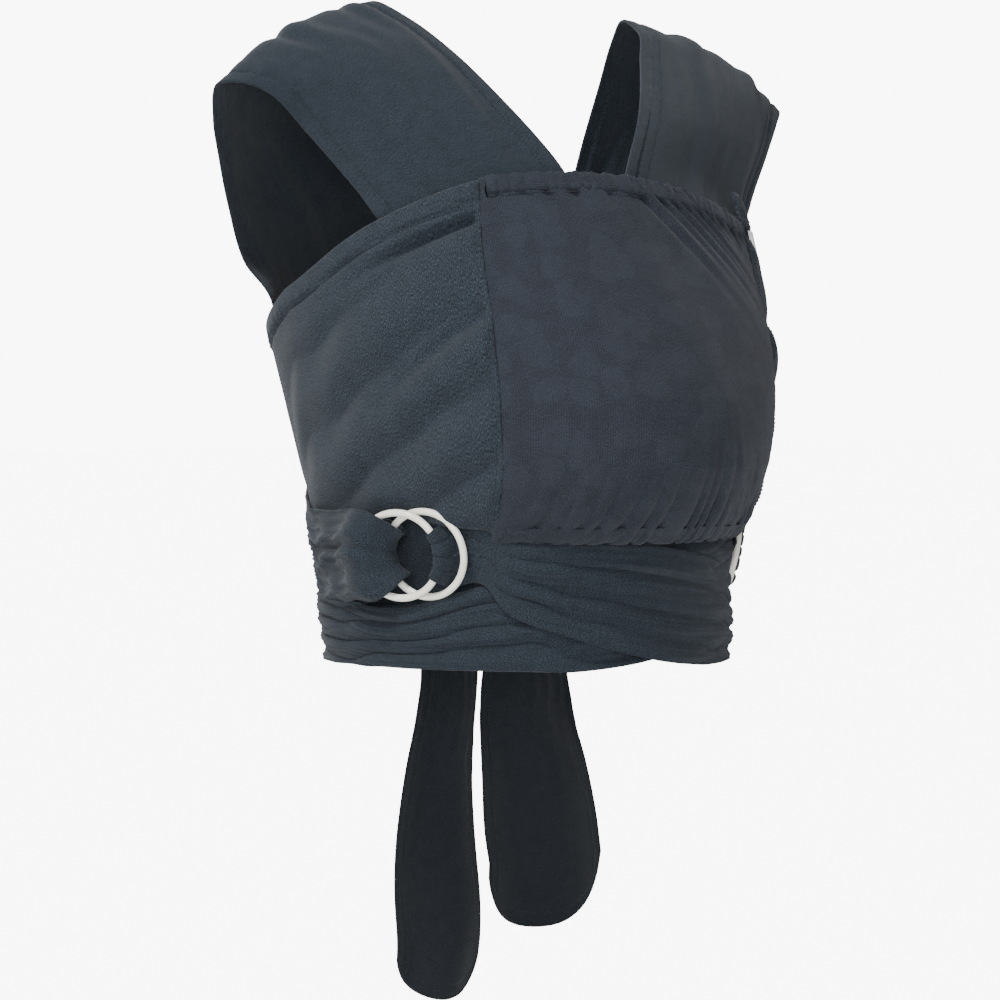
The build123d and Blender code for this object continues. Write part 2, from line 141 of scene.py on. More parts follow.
bpy.ops.object.select_all(action="DESELECT")
bpy.ops.mesh.primitive_plane_add(size=60, location=(0, 0, cad_box[0][2] - 0.16))
floor = bpy.context.object
floor.name = "floor"
paint = bpy.data.materials.new("floor_paint")
paint.use_nodes = True
coat = paint.node_tree.nodes
coat["Principled BSDF"].inputs["Base Color"].default_value = (0.9, 0.9, 0.9, 1)
coat["Principled BSDF"].inputs["Roughness"].default_value = 0.9
glow = coat.new("ShaderNodeEmission")
glow.inputs["Strength"].default_value = FLOOR_GLOW
seen_apart(paint.node_tree, coat["Principled BSDF"].outputs[0], glow.outputs[0],
           coat["Material Output"].inputs["Surface"])
floor.data.materials.append(paint)
floor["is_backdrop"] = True

# %% [markdown]
# ## The form under the cloth
# All of the cloth lies on one egg-shaped form, the wearer's trunk with the child in front. It is written
# as rows of height, half width, depth to the back, depth to the front and middle, in millimetres. Between
# rows it is softened a little, so the cloth shows no ridge where two rows meet.

# %%
# The form
FORM = np.array((
    (-505, 151, 117, 166, 4), (-450, 158, 122, 172, 8), (-405, 163, 126, 180, 12),
    (-370, 168, 128, 228, 15), (-330, 177, 132, 254, 19), (-280, 186, 138, 258, 24),
    (-225, 198, 147, 242, 29), (-165, 200, 148, 213, 32), (-95, 198, 146, 182, 32)), float)


SOFTENED = ((-14, 0.25), (0, 0.5), (14, 0.25))


def section(z):
    """The form's half width, back depth, front depth and middle at some heights."""
    z = np.asarray(z, float)
    return [sum(w * np.interp(z + d, FORM[:, 0], FORM[:, k]) for d, w in SOFTENED) for k in (1, 2, 3, 4)]


def on_form(angle, z, growth):
    """Points on the form. Angle 0 is straight ahead, 90 the wearer's left, 180 the back."""
    angle, z = np.broadcast_arrays(np.radians(angle), np.asarray(z, float))
    half, behind, ahead, middle = section(z)
    deep = np.where(np.cos(angle) > 0, ahead, behind) + growth
    return np.stack([(half + growth) * np.sin(angle), middle - deep * np.cos(angle), z], -1)


def at_x(x, z, growth, front=True):
    """Points on the form in front, or behind, at some distances from the middle."""
    x, z = np.broadcast_arrays(np.asarray(x, float), np.asarray(z, float))
    half, behind, ahead, middle = section(z)
    reach = np.sqrt(np.clip(1 - (x / (half + growth)) ** 2, 0, 1))
    y = middle - (ahead + growth) * reach if front else middle + (behind + growth) * reach
    return np.stack([x, y, z], -1)


# %% [markdown]
# ## From rows of points to a sheet of cloth
# A sheet is described by a few rows of points across it. A smooth curve through the rows gives every
# point of a fine grid. The grid is added with the grid tool and its points are moved there, and the UV
# map is laid out in metres of cloth, so a knit pattern keeps its true size and follows the folds.

# %%
# Helpers for the shape of cloth
EVEN = np.linspace(0, 1, 5)


def wobble(x, seed, pitch):
    """A slow, uneven wave between about -1 and 1, the same each run."""
    dice = np.random.default_rng(seed)
    total = 0
    for k, weight in enumerate((0.5, 0.3, 0.2)):
        total = total + weight * np.sin(2 * np.pi * (x / pitch * (1 + 0.73 * k) + dice.random()))
    return total


def smooth_step(x):
    """0 below 0, 1 above 1, and an easy curve between."""
    x = np.clip(x, 0, 1)
    return x * x * (3 - 2 * x)


def scallop(x, power=1.0):
    """Rounded pleats of pitch 1, from 0 in the creases to 1 on the crowns."""
    return np.abs(np.sin(np.pi * x)) ** power


def flattened(wave, power):
    """A wave between -1 and 1 with broader crowns and its sign kept."""
    return np.sign(wave) * np.abs(wave) ** power


def groove(x, at, width):
    """A dip of depth 1 and a given half width."""
    return np.exp(-((x - at) / width) ** 2)


def through_rows(rows, count):
    """A fine set of rows on a smooth curve through a few given rows."""
    rows = np.asarray(rows, float)
    flat = rows.reshape(len(rows), -1)
    step = np.linalg.norm(np.diff(rows.mean(axis=1), axis=0), axis=1)
    at = np.concatenate([[0], np.cumsum(step)])
    slope = np.gradient(flat, at, axis=0)
    want = np.linspace(0, at[-1], count)
    k = np.clip(np.searchsorted(at, want, side="right") - 1, 0, len(at) - 2)
    h = (at[k + 1] - at[k])[:, None]
    t = ((want - at[k]) / (at[k + 1] - at[k]))[:, None]
    fine = (2 * t**3 - 3 * t**2 + 1) * flat[k] + (t**3 - 2 * t**2 + t) * h * slope[k]
    fine = fine + (3 * t**2 - 2 * t**3) * flat[k + 1] + (t**3 - t**2) * h * slope[k + 1]
    return fine.reshape(count, *rows.shape[1:])


def across_rows(rows, count):
    """The same, from edge to edge of every row."""
    return np.swapaxes(through_rows(np.swapaxes(np.asarray(rows, float), 0, 1), count), 0, 1)


def arc_row(first, middle, last):
    """Five points of a bow from one edge to the other."""
    t = EVEN[:, None]
    first, middle, last = (np.asarray(p, float) for p in (first, middle, last))
    return (1 - t) * (1 - 2 * t) * first + 4 * t * (1 - t) * middle + t * (2 * t - 1) * last


def facing(points):
    """The unit normals of a grid of points."""
    n = np.cross(np.gradient(points, axis=1), np.gradient(points, axis=0))
    return n / np.maximum(np.linalg.norm(n, axis=-1, keepdims=True), 1e-9)


def lengths(points):
    """How far along and across the cloth each point of a grid lies."""
    along = np.linalg.norm(np.diff(points, axis=0), axis=-1)
    across = np.linalg.norm(np.diff(points, axis=1), axis=-1)
    v = np.concatenate([[0], np.cumsum(along.mean(axis=1))])
    u = np.concatenate([np.zeros((len(points), 1)), np.cumsum(across, axis=1)], axis=1)
    return u - u[:, -1:] / 2, v[:, None] + 0 * u


# %%
# The sheet maker


def drop_selection():
    """Nothing stays selected, so the next operator acts on the new piece alone."""
    if bpy.context.object and bpy.context.object.mode != "OBJECT":
        bpy.ops.object.mode_set(mode="OBJECT")
    bpy.ops.object.select_all(action="DESELECT")


def cloth(name, points, lift, thick, material, inside=(0, 0, -300)):
    """A sheet of cloth from a grid of points in millimetres, with folds that lift it along its normal."""
    points = np.asarray(points, float)
    normal = facing(points)
    if (normal * (points - np.asarray(inside, float))).sum(-1).mean() < 0:
        points, normal = points[:, ::-1], -normal[:, ::-1]
        lift = lift[:, ::-1] if np.ndim(lift) == 2 else lift
    u, v = lengths(points)
    points = (points + normal * np.asarray(lift)[..., None]) / 1000
    rows, columns = points.shape[:2]
    drop_selection()
    bpy.ops.mesh.primitive_grid_add(x_subdivisions=columns - 1, y_subdivisions=rows - 1, size=1)
    piece = bpy.context.object
    piece.name = name
    piece.data.vertices.foreach_set("co", points.reshape(-1).astype(np.float32))
    corner = np.zeros(len(piece.data.loops), int)
    piece.data.loops.foreach_get("vertex_index", corner)
    chart = np.stack([u, v], -1).reshape(-1, 2)[corner] / 1000
    piece.data.uv_layers[0].data.foreach_set("uv", chart.reshape(-1).astype(np.float32))
    piece.data.update()
    if thick:
        wall = piece.modifiers.new("thickness", "SOLIDIFY")
        wall.thickness = thick / 1000
        wall.offset = -1
        bpy.ops.object.modifier_apply(modifier=wall.name)
    piece.data.shade_smooth()
    piece.data.materials.append(material)
    print(f"{name:22s} {rows} x {columns} points, {len(piece.data.polygons)} faces")
    return piece


def on_sling(piece, slot, *replaced):
    """Ties a piece to the sling's body and hides the frame's pieces that it stands for. The finish slot is not
    used.
    """
    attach(piece, "sling")
    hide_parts(*replaced)
    return piece


# %% [markdown]
# ## Jersey and the other finishes
# Melange jersey is knitted from yarn spun of dark and pale fibres, so its colour breaks up into short
# streaks along the knit. One node group makes that colour, the knit's height and its roughness from the
# UV map. The pouch adds a second group: pale rounded spots, hardly lighter than the cloth.

# %%
# A small kit for node trees


def group(name, inputs, outputs):
    """A new shader node group with its sockets."""
    tree = bpy.data.node_groups.new(name, "ShaderNodeTree")
    for label, kind, value in inputs:
        socket = tree.interface.new_socket(label, in_out="INPUT", socket_type="NodeSocket" + kind)
        if value is not None:
            socket.default_value = value
    for label, kind in outputs:
        tree.interface.new_socket(label, in_out="OUTPUT", socket_type="NodeSocket" + kind)
    return tree, tree.nodes.new("NodeGroupInput"), tree.nodes.new("NodeGroupOutput")


def node(tree, kind, links=(), **settings):
    """A node with its settings, and (input, source or value) pairs."""
    made = tree.nodes.new("ShaderNode" + kind)
    for key, value in settings.items():
        setattr(made, key, value)
    for key, source in links:
        if isinstance(source, bpy.types.NodeSocket):
            tree.links.new(source, made.inputs[key])
        else:
            made.inputs[key].default_value = source
    return made


def calc(tree, operation, a, b=0.0):
    """One sum on one or two values."""
    return node(tree, "Math", ((0, a), (1, b)), operation=operation).outputs[0]


def mix(tree, share, a, b, blend="MIX"):
    """A mix of two colours."""
    return node(tree, "Mix", ((0, share), (6, a), (7, b)), data_type="RGBA", blend_type=blend).outputs[2]


def blank(name):
    """A new material, its node tree and its shader."""
    material = bpy.data.materials.new(name)
    material.use_nodes = True
    return material, material.node_tree, material.node_tree.nodes["Principled BSDF"]


def dent(tree, shader, height, strength, distance):
    """Fine relief on a shader's normal."""
    bump = node(tree, "Bump", (("Height", height), ("Strength", strength), ("Distance", distance)))
    tree.links.new(bump.outputs[0], shader.inputs["Normal"])


def use_group(tree, made, chart):
    """A copy of a node group that reads the chart."""
    used = tree.nodes.new("ShaderNodeGroup")
    used.node_tree = made
    tree.links.new(chart, used.inputs["Chart"])
    return used


# %%
# The melange knit


def knit_group():
    """Colour, height and roughness of melange jersey, from a chart in metres."""
    tree, inlet, outlet = group(
        "melange_knit",
        (("Chart", "Vector", None), ("Dark", "Color", (0.03, 0.04, 0.05, 1)),
         ("Pale", "Color", (0.1, 0.12, 0.14, 1)), ("Fleck", "Float", 0.5), ("Wale", "Float", 0.0013)),
        (("Color", "Color"), ("Height", "Float"), ("Roughness", "Float")))
    chart = inlet.outputs["Chart"]
    streak = node(tree, "Mapping", (("Vector", chart), ("Scale", (1600, 800, 1))))
    fibre = node(tree, "TexNoise", (("Vector", streak.outputs[0]), ("Scale", 1.0), ("Detail", 3.0),
                                    ("Roughness", 0.7)))
    fleck = node(tree, "MapRange", (("Value", fibre.outputs["Fac"]), ("From Min", 0.42), ("From Max", 0.72)))
    broad = node(tree, "TexNoise", (("Vector", chart), ("Scale", 90.0), ("Detail", 4.0), ("Roughness", 0.6)))
    cloud = node(tree, "MapRange", (("Value", broad.outputs["Fac"]), ("From Min", 0.3), ("From Max", 0.7)))
    split = node(tree, "SeparateXYZ", (("Vector", chart),))
    turns = calc(tree, "DIVIDE", split.outputs[0], inlet.outputs["Wale"])
    rib = calc(tree, "ABSOLUTE", calc(tree, "SINE", calc(tree, "MULTIPLY", turns, math.pi)))
    course = calc(tree, "SINE", calc(tree, "MULTIPLY", split.outputs[1], 2 * math.pi / 0.0011))
    share = calc(tree, "MULTIPLY", fleck.outputs[0], inlet.outputs["Fleck"])
    tone = mix(tree, share, inlet.outputs["Dark"], inlet.outputs["Pale"])
    # painted shade: the knit's colour is darker in the valleys of its rib, and a random cloud of tone is
    # multiplied in too
    shade = calc(tree, "ADD", 0.72, calc(tree, "MULTIPLY", rib, 0.34))
    cloudy = calc(tree, "ADD", 0.88, calc(tree, "MULTIPLY", cloud.outputs[0], 0.24))
    shade = calc(tree, "MULTIPLY", shade, cloudy)
    grey = node(tree, "CombineColor", ((0, shade), (1, shade), (2, shade)))
    tree.links.new(mix(tree, 1.0, tone, grey.outputs[0], "MULTIPLY"), outlet.inputs["Color"])
    height = calc(tree, "ADD", rib, calc(tree, "MULTIPLY", course, 0.25))
    height = calc(tree, "ADD", height, calc(tree, "MULTIPLY", fibre.outputs["Fac"], 0.9))
    tree.links.new(height, outlet.inputs["Height"])
    rough = calc(tree, "ADD", 0.8, calc(tree, "MULTIPLY", fibre.outputs["Fac"], 0.2))
    tree.links.new(rough, outlet.inputs["Roughness"])
    return tree


def spot_group():
    """A mask of rounded spots of two sizes, from a chart in metres."""
    tree, inlet, outlet = group("soft_spots", (("Chart", "Vector", None), ("Pitch", "Float", 0.030)),
                                (("Mask", "Float"),))
    bend = node(tree, "TexNoise", (("Vector", inlet.outputs["Chart"]), ("Scale", 30.0), ("Detail", 1.0)))
    push = node(tree, "VectorMath", ((0, bend.outputs["Color"]), (1, (0.022, 0.022, 0))), operation="MULTIPLY")
    moved = node(tree, "VectorMath", ((0, inlet.outputs["Chart"]), (1, push.outputs[0])), operation="ADD")
    scale = calc(tree, "DIVIDE", 1.0, inlet.outputs["Pitch"])
    cell = node(tree, "TexVoronoi", (("Vector", moved.outputs[0]), ("Scale", scale), ("Randomness", 0.75)),
                feature="F1", voronoi_dimensions="2D")
    mask = node(tree, "MapRange", (("Value", cell.outputs["Distance"]), ("From Min", 0.40), ("From Max", 0.33)),
                interpolation_type="SMOOTHSTEP")
    tree.links.new(mask.outputs[0], outlet.inputs["Mask"])
    return tree


KNIT = knit_group()
SPOTS = spot_group()


def jersey(name, dark, pale, fleck, wale=0.0013, bump=0.45, spots=None):
    """A jersey finish: the knit group, perhaps spots, and a soft sheen of loose fibres."""
    material, tree, shader = blank(name)
    chart = node(tree, "TexCoord").outputs["UV"]
    knit = use_group(tree, KNIT, chart)
    for key, value in (("Dark", dark), ("Pale", pale), ("Fleck", fleck), ("Wale", wale)):
        knit.inputs[key].default_value = (*value, 1) if isinstance(value, tuple) else value
    colour, height = knit.outputs["Color"], knit.outputs["Height"]
    if spots:
        mask = use_group(tree, SPOTS, chart).outputs["Mask"]
        spot_colour, strength = spots
        colour = mix(tree, calc(tree, "MULTIPLY", mask, strength), colour, (*spot_colour, 1))
        height = calc(tree, "ADD", height, calc(tree, "MULTIPLY", mask, 0.5))
    tree.links.new(colour, shader.inputs["Base Color"])
    tree.links.new(knit.outputs["Roughness"], shader.inputs["Roughness"])
    dent(tree, shader, height, bump, 0.0004)
    shader.inputs["Sheen Weight"].default_value = 0.06
    shader.inputs["Sheen Roughness"].default_value = 0.5
    shader.inputs["Specular IOR Level"].default_value = 0.2
    return material


BAND_JERSEY = jersey("band_jersey", (0.0040, 0.0066, 0.0103), (0.061, 0.080, 0.101), fleck=0.6)
WING_JERSEY = jersey("wing_jersey", (0.0056, 0.0087, 0.0130), (0.066, 0.084, 0.105), fleck=0.64)
POUCH_JERSEY = jersey("pouch_jersey", (0.0078, 0.0100, 0.0150), (0.048, 0.055, 0.071), fleck=0.62,
                      wale=0.0019, spots=((0.036, 0.042, 0.054), 0.10))
LINING_JERSEY = jersey("lining_jersey", (0.007, 0.009, 0.011), (0.026, 0.030, 0.035), fleck=0.4)
# painted shade: the tails are the bands' own cloth, given a darker copy of their jersey
SHADED_TAIL_JERSEY = jersey("shaded_tail_jersey", (0.0045, 0.0062, 0.0085), (0.026, 0.032, 0.039), fleck=0.55)
THREAD = jersey("stitching_thread", (0.012, 0.016, 0.021), (0.06, 0.072, 0.085), fleck=0.5, bump=0.1)

# %% [markdown]
# ## The rings and the label
# The rings are aluminium with an off-white powder coat. Powder coat has a very fine orange-peel skin, and
# where the cloth and the other ring rub, it goes a little duller. The label is a folded white ribbon.

# %%
# Ring coat and ribbon


def ring_coat():
    """Off-white powder coat on metal."""
    material, tree, shader = blank("ring_coat")
    place = node(tree, "TexCoord").outputs["Object"]
    peel = node(tree, "TexNoise", (("Vector", place), ("Scale", 900.0), ("Detail", 2.0)))
    rubbed = node(tree, "TexNoise", (("Vector", place), ("Scale", 60.0), ("Detail", 3.0)))
    wear = node(tree, "MapRange", (("Value", rubbed.outputs["Fac"]), ("From Min", 0.45), ("From Max", 0.7)))
    colour = mix(tree, wear.outputs[0], (0.80, 0.79, 0.70, 1), (0.70, 0.69, 0.61, 1))
    tree.links.new(colour, shader.inputs["Base Color"])
    rough = calc(tree, "ADD", 0.26, calc(tree, "MULTIPLY", wear.outputs[0], 0.18))
    tree.links.new(rough, shader.inputs["Roughness"])
    dent(tree, shader, peel.outputs["Fac"], 0.12, 0.0003)
    shader.inputs["Coat Weight"].default_value = 0.3
    shader.inputs["Coat Roughness"].default_value = 0.2
    return material


def ribbon():
    """White woven ribbon with a fine rib."""
    material, tree, shader = blank("label_weave")
    chart = node(tree, "TexCoord").outputs["UV"]
    rib = node(tree, "TexWave", (("Vector", chart), ("Scale", 350.0), ("Distortion", 0.4)))
    # painted shade: the ribbon's colour is darker in the valleys of its rib
    tone = mix(tree, rib.outputs["Fac"], (0.70, 0.70, 0.68, 1), (0.84, 0.84, 0.82, 1))
    tree.links.new(tone, shader.inputs["Base Color"])
    dent(tree, shader, rib.outputs["Fac"], 0.3, 0.0003)
    shader.inputs["Roughness"].default_value = 0.55
    return material


RING_COAT = ring_coat()
LABEL_WEAVE = ribbon()
for side in NAMES.values():
    for place in ("outer", "inner"):
        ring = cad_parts[f"{side}_{place}_ring"]
        ring.data.materials.clear()
        ring.data.materials.append(RING_COAT)
        ring.data.shade_smooth()

# %% [markdown]
# ## Stitches
# A hem is held by a row of short stitches. One stitch is a thin rounded stroke with few faces. It is made
# once and copied along a line that is read from the finished cloth, so the rows follow every fold.

# %%
# The stitch maker
STITCH_HALF = (0.38, 0.38, 1.15)
STITCH_PITCH = 3.2
stitch_rows = {}


def one_stitch():
    """The points and faces of one stitch."""
    drop_selection()
    bpy.ops.mesh.primitive_uv_sphere_add(segments=6, ring_count=4, radius=1)
    ball = bpy.context.object
    points = np.array([v.co[:] for v in ball.data.vertices]) * STITCH_HALF
    faces = [tuple(p.vertices) for p in ball.data.polygons]
    bpy.data.objects.remove(ball)
    return points, faces


STITCH = one_stitch()


def stitch_along(key, line, normal, proud=0.25):
    """Notes a row of stitches along a line, standing a little proud."""
    step = np.linalg.norm(np.diff(line, axis=0), axis=1)
    at = np.concatenate([[0], np.cumsum(step)])
    points, faces = STITCH
    rows = stitch_rows.setdefault(key, ([], []))
    for s in np.arange(STITCH_PITCH, at[-1] - STITCH_PITCH, STITCH_PITCH):
        place, ahead, up = (np.array([np.interp(s + on, at, values[:, k]) for k in range(3)])
                            for values, on in ((line, 0), (line, 1), (normal, 0)))
        ahead = ahead - place
        ahead = ahead / max(np.linalg.norm(ahead), 1e-9)
        up = up - ahead * up.dot(ahead)
        up = up / max(np.linalg.norm(up), 1e-9)
        base = sum(len(p) for p in rows[0])
        rows[0].append(place + up * proud + points @ np.array([np.cross(up, ahead), up, ahead]))
        rows[1].extend(tuple(i + base for i in face) for face in faces)


def sew(key, chart=None):
    """Makes all of the stitches noted under a key into one piece."""
    points, faces = stitch_rows[key]
    mesh = bpy.data.meshes.new(key)
    mesh.from_pydata(np.concatenate(points) / 1000, [], faces)
    layer = mesh.uv_layers.new(name="UVMap")
    if chart:
        layer.data.foreach_set("uv", np.tile(chart, len(mesh.loops)).astype(np.float32))
    mesh.materials.append(THREAD)
    mesh.shade_smooth()
    piece = bpy.data.objects.new(key, mesh)
    bpy.context.collection.objects.link(piece)
    print(key, len(points), "stitches")
    return piece


def lifted(points, lift, inside):
    """The surface points and normals of a sheet after its folds have lifted it."""
    points = np.asarray(points, float)
    normal = facing(points)
    if (normal * (points - np.asarray(inside, float))).sum(-1).mean() < 0:
        normal = -normal
    return points + normal * np.asarray(lift)[..., None], normal


# %% [markdown]
# ## The pouch
# The pouch is one panel of printed jersey. Elastic in a casing along its top, and gathers along its
# bottom, pull it into a pocket. The panel is laid on the form between its two seams. Its folds are ridges
# that start at the gathered edges and fade out over a few centimetres.

# %%
# The pouch's edges, in millimetres
TOP_LINE = np.polyfit((-121, -10, 121), (-115, -113, -144), 2)
SEAM_LINE = np.polyfit((-115, -250, -388), (121, 131, 117), 2)
POUCH_BOTTOM = -388.0


def pouch_top(x):
    """The height of the pouch's upper edge."""
    return np.polyval(TOP_LINE, x)


def seam_half(z):
    """How far the two side seams lie from the middle."""
    return np.polyval(SEAM_LINE, z)


POUCH_ROWS, POUCH_COLUMNS = 207, 225
across = np.linspace(-1, 1, POUCH_COLUMNS)[None, :]
up = np.linspace(0, 1, POUCH_ROWS)[:, None]
z = POUCH_BOTTOM + (pouch_top(across * 121) - POUCH_BOTTOM) * up
x = across * (seam_half(z) + 1.2)
pouch_points = at_x(x, z, -0.4)
below = np.maximum(pouch_top(x) - z, 0)
above = np.maximum(z - POUCH_BOTTOM, 0)

# %%
# The pouch's folds. A tuck has its start, depth, length and slant; a drag line its start, slant and depth.
TUCKS = ((-100, 1.0, 16, 0.3), (-84, 1.4, 20, 0.35), (-66, 3.0, 26, 0.5), (-56, 1.8, 20, 0.5), (-38, 1.2, 20, 0.4),
         (-18, 3.4, 44, 1.1), (-2, 2.2, 34, 1.2), (9, 2.8, 46, 1.3), (20, 2.4, 42, 1.35), (32, 2.8, 44, 1.4),
         (46, 2.0, 34, 1.3), (62, 1.6, 28, 1.1), (84, 1.8, 26, 0.8), (102, 1.2, 22, 0.4))
DRAG_LINES = ((-104, 0.35, 1.6), (98, -0.5, 2.6), (80, -0.42, 2.2), (56, -0.3, 1.8), (30, -0.16, 1.5))
RIPPLE_PITCH, GATHER_PITCH, GATHER_DEPTH = 11.5, 15.5, 5.2
folds = 2.2 * wobble(x + 0.4 * z, 3, 150) * smooth_step(above / 60) * smooth_step(below / 60)
for start, depth, long, slant in TUCKS:
    line = x - start - slant * below
    fade = np.exp(-(below / long) ** 1.6)
    folds = folds - 1.35 * depth * fade * groove(line, 0, 2.8 + 0.05 * below)
    folds = folds + 1.1 * depth * fade * groove(line, 7 + 0.08 * below, 4.5 + 0.06 * below)
ripple = scallop(x / RIPPLE_PITCH + 0.5 * wobble(x, 8, 60))
folds = folds + 0.9 * (ripple - 0.5) * np.exp(-below / 14)
strong = 0.45 + 0.9 * groove(x, -5, 70)
phase = x / GATHER_PITCH + 0.55 * wobble(x, 21, 90) + 0.010 * above * np.sign(x) * smooth_step(np.abs(x) / 60)
long = 24 + 20 * (0.5 + 0.5 * wobble(x, 33, 46))
reach = np.exp(-(above / long) ** 1.4) * smooth_step((above + 2) / 6)
folds = folds + GATHER_DEPTH * strong * (scallop(phase, 0.75) - 0.45) * reach
for start, slant, depth in DRAG_LINES:
    line = x - start - slant * above
    fade = smooth_step(above / 20) * np.exp(-(above / 70) ** 2)
    folds = folds - depth * fade * groove(line, 0, 4 + 0.05 * above)
    folds = folds + 0.7 * depth * fade * groove(line, 10, 8 + 0.05 * above)
to_seam = 1 - np.abs(across)
pucker = 0.35 * np.sin(z / 2.2 + 2 * wobble(z, 5, 30)) * np.exp(-(to_seam / 0.05))
folds = folds * (0.25 + 0.75 * smooth_step(np.minimum(1, to_seam / 0.04))) + pucker
folds = folds - 1.5 * np.exp(-(to_seam / 0.012))
pouch = on_sling(cloth("pouch_front", pouch_points, folds, 1.8, POUCH_JERSEY), "printed_jersey", "pouch_panel")

# %% [markdown]
# The elastic runs in a casing that stands a little proud of the panel. It is a stuffed, flattened tube
# whose face ripples where the elastic has drawn it in.

# %%
# Casings


def casing(name, line, height, proud, wave, seed, replaced):
    """A gathered casing along a line on the pouch, given as x and z."""
    xs, zs = line
    turnings = np.linspace(0, 2 * np.pi, 25)[None, :]
    s = np.concatenate([[0], np.cumsum(np.hypot(np.diff(xs), np.diff(zs)))])[:, None]
    ruffle = scallop(s / wave + 0.6 * wobble(s, seed, 60), 0.8)
    flat, rise = flattened(np.cos(turnings), 0.6), flattened(np.sin(turnings), 0.7)
    dz = height / 2 * (0.92 + 0.12 * ruffle) * rise + 0.8 * wobble(s, seed + 1, 14)
    grow = 0.4 + proud * (0.35 + 0.65 * ruffle) * np.clip(flat, 0, 1)
    grow = grow - 3.2 * np.clip(-np.cos(turnings), 0, 1) ** 0.6
    grow = grow - 3.4 * smooth_step((-dz / (height / 2) - 0.45) / 0.5) * (np.cos(turnings) > 0)
    points = at_x(xs[:, None] + 0 * dz, zs[:, None] + dz, grow)
    centre = points[:, :-1].mean(axis=1)
    piece = cloth(name, points, 0.0, 0, POUCH_JERSEY, inside=centre[:, None, :])
    bpy.context.view_layer.objects.active = piece
    bpy.ops.object.mode_set(mode="EDIT")
    bpy.ops.mesh.select_all(action="SELECT")
    bpy.ops.mesh.remove_doubles(threshold=0.00002)
    bpy.ops.mesh.select_all(action="DESELECT")
    bpy.ops.mesh.select_non_manifold()
    bpy.ops.mesh.edge_face_add()
    bpy.ops.object.mode_set(mode="OBJECT")
    return on_sling(piece, "printed_jersey", replaced)


xs = np.linspace(-119.5, 119.5, 420)
top_casing = casing("pouch_top_casing", (xs, pouch_top(xs) - 7.0), 15.5, 1.9, 9.5, 41, "pouch_top_elastic")
xs = np.linspace(-114.5, 114.5, 400)
bottom_casing = casing("pouch_bottom_casing", (xs, POUCH_BOTTOM + 6.0 + 0 * xs), 12, 1.6, 9.0, 57,
                       "pouch_bottom_elastic")

LINING_BOTTOM, LINING_DEEP = -385, -5.4
lining_z = LINING_BOTTOM + (pouch_top(across * 118) - 6 - LINING_BOTTOM) * up[::3]
lining_points = at_x(across * (seam_half(lining_z) - 5), lining_z, LINING_DEEP)
lining = cloth("pouch_lining_cloth", lining_points, 0.5 * wobble(lining_points[..., 0], 9, 40), 1.2, LINING_JERSEY)
on_sling(lining, "lining", "pouch_lining")

# %% [markdown]
# ## The wings
# A wing runs from the seam at the pouch round under the arm to a seam in the middle of the back. Its
# upper edge has a broad hem. Soft folds run from the rings up towards the pouch, because that is where
# the child's weight pulls.

# %%
# Wings
WING_TOP = np.array(((28, -109), (36, -115), (62, -146), (88.7, -193), (109.5, -219), (145, -243),
                     (180, -262)), float)
WING_LOW = np.array(((20, -386), (38, -386), (52, -378), (64, -372), (92, -372), (108, -372), (125, -353),
                     (150, -328), (180, -318)), float)
WING_ROWS, WING_COLUMNS, WING_ROUND, WING_HEM = 110, 330, 560, 13.0


def eased(table, at):
    """A smooth curve through a table of pairs."""
    fine = through_rows(table[:, None, :], 300)[:, 0]
    return np.interp(at, fine[:, 0], fine[:, 1])


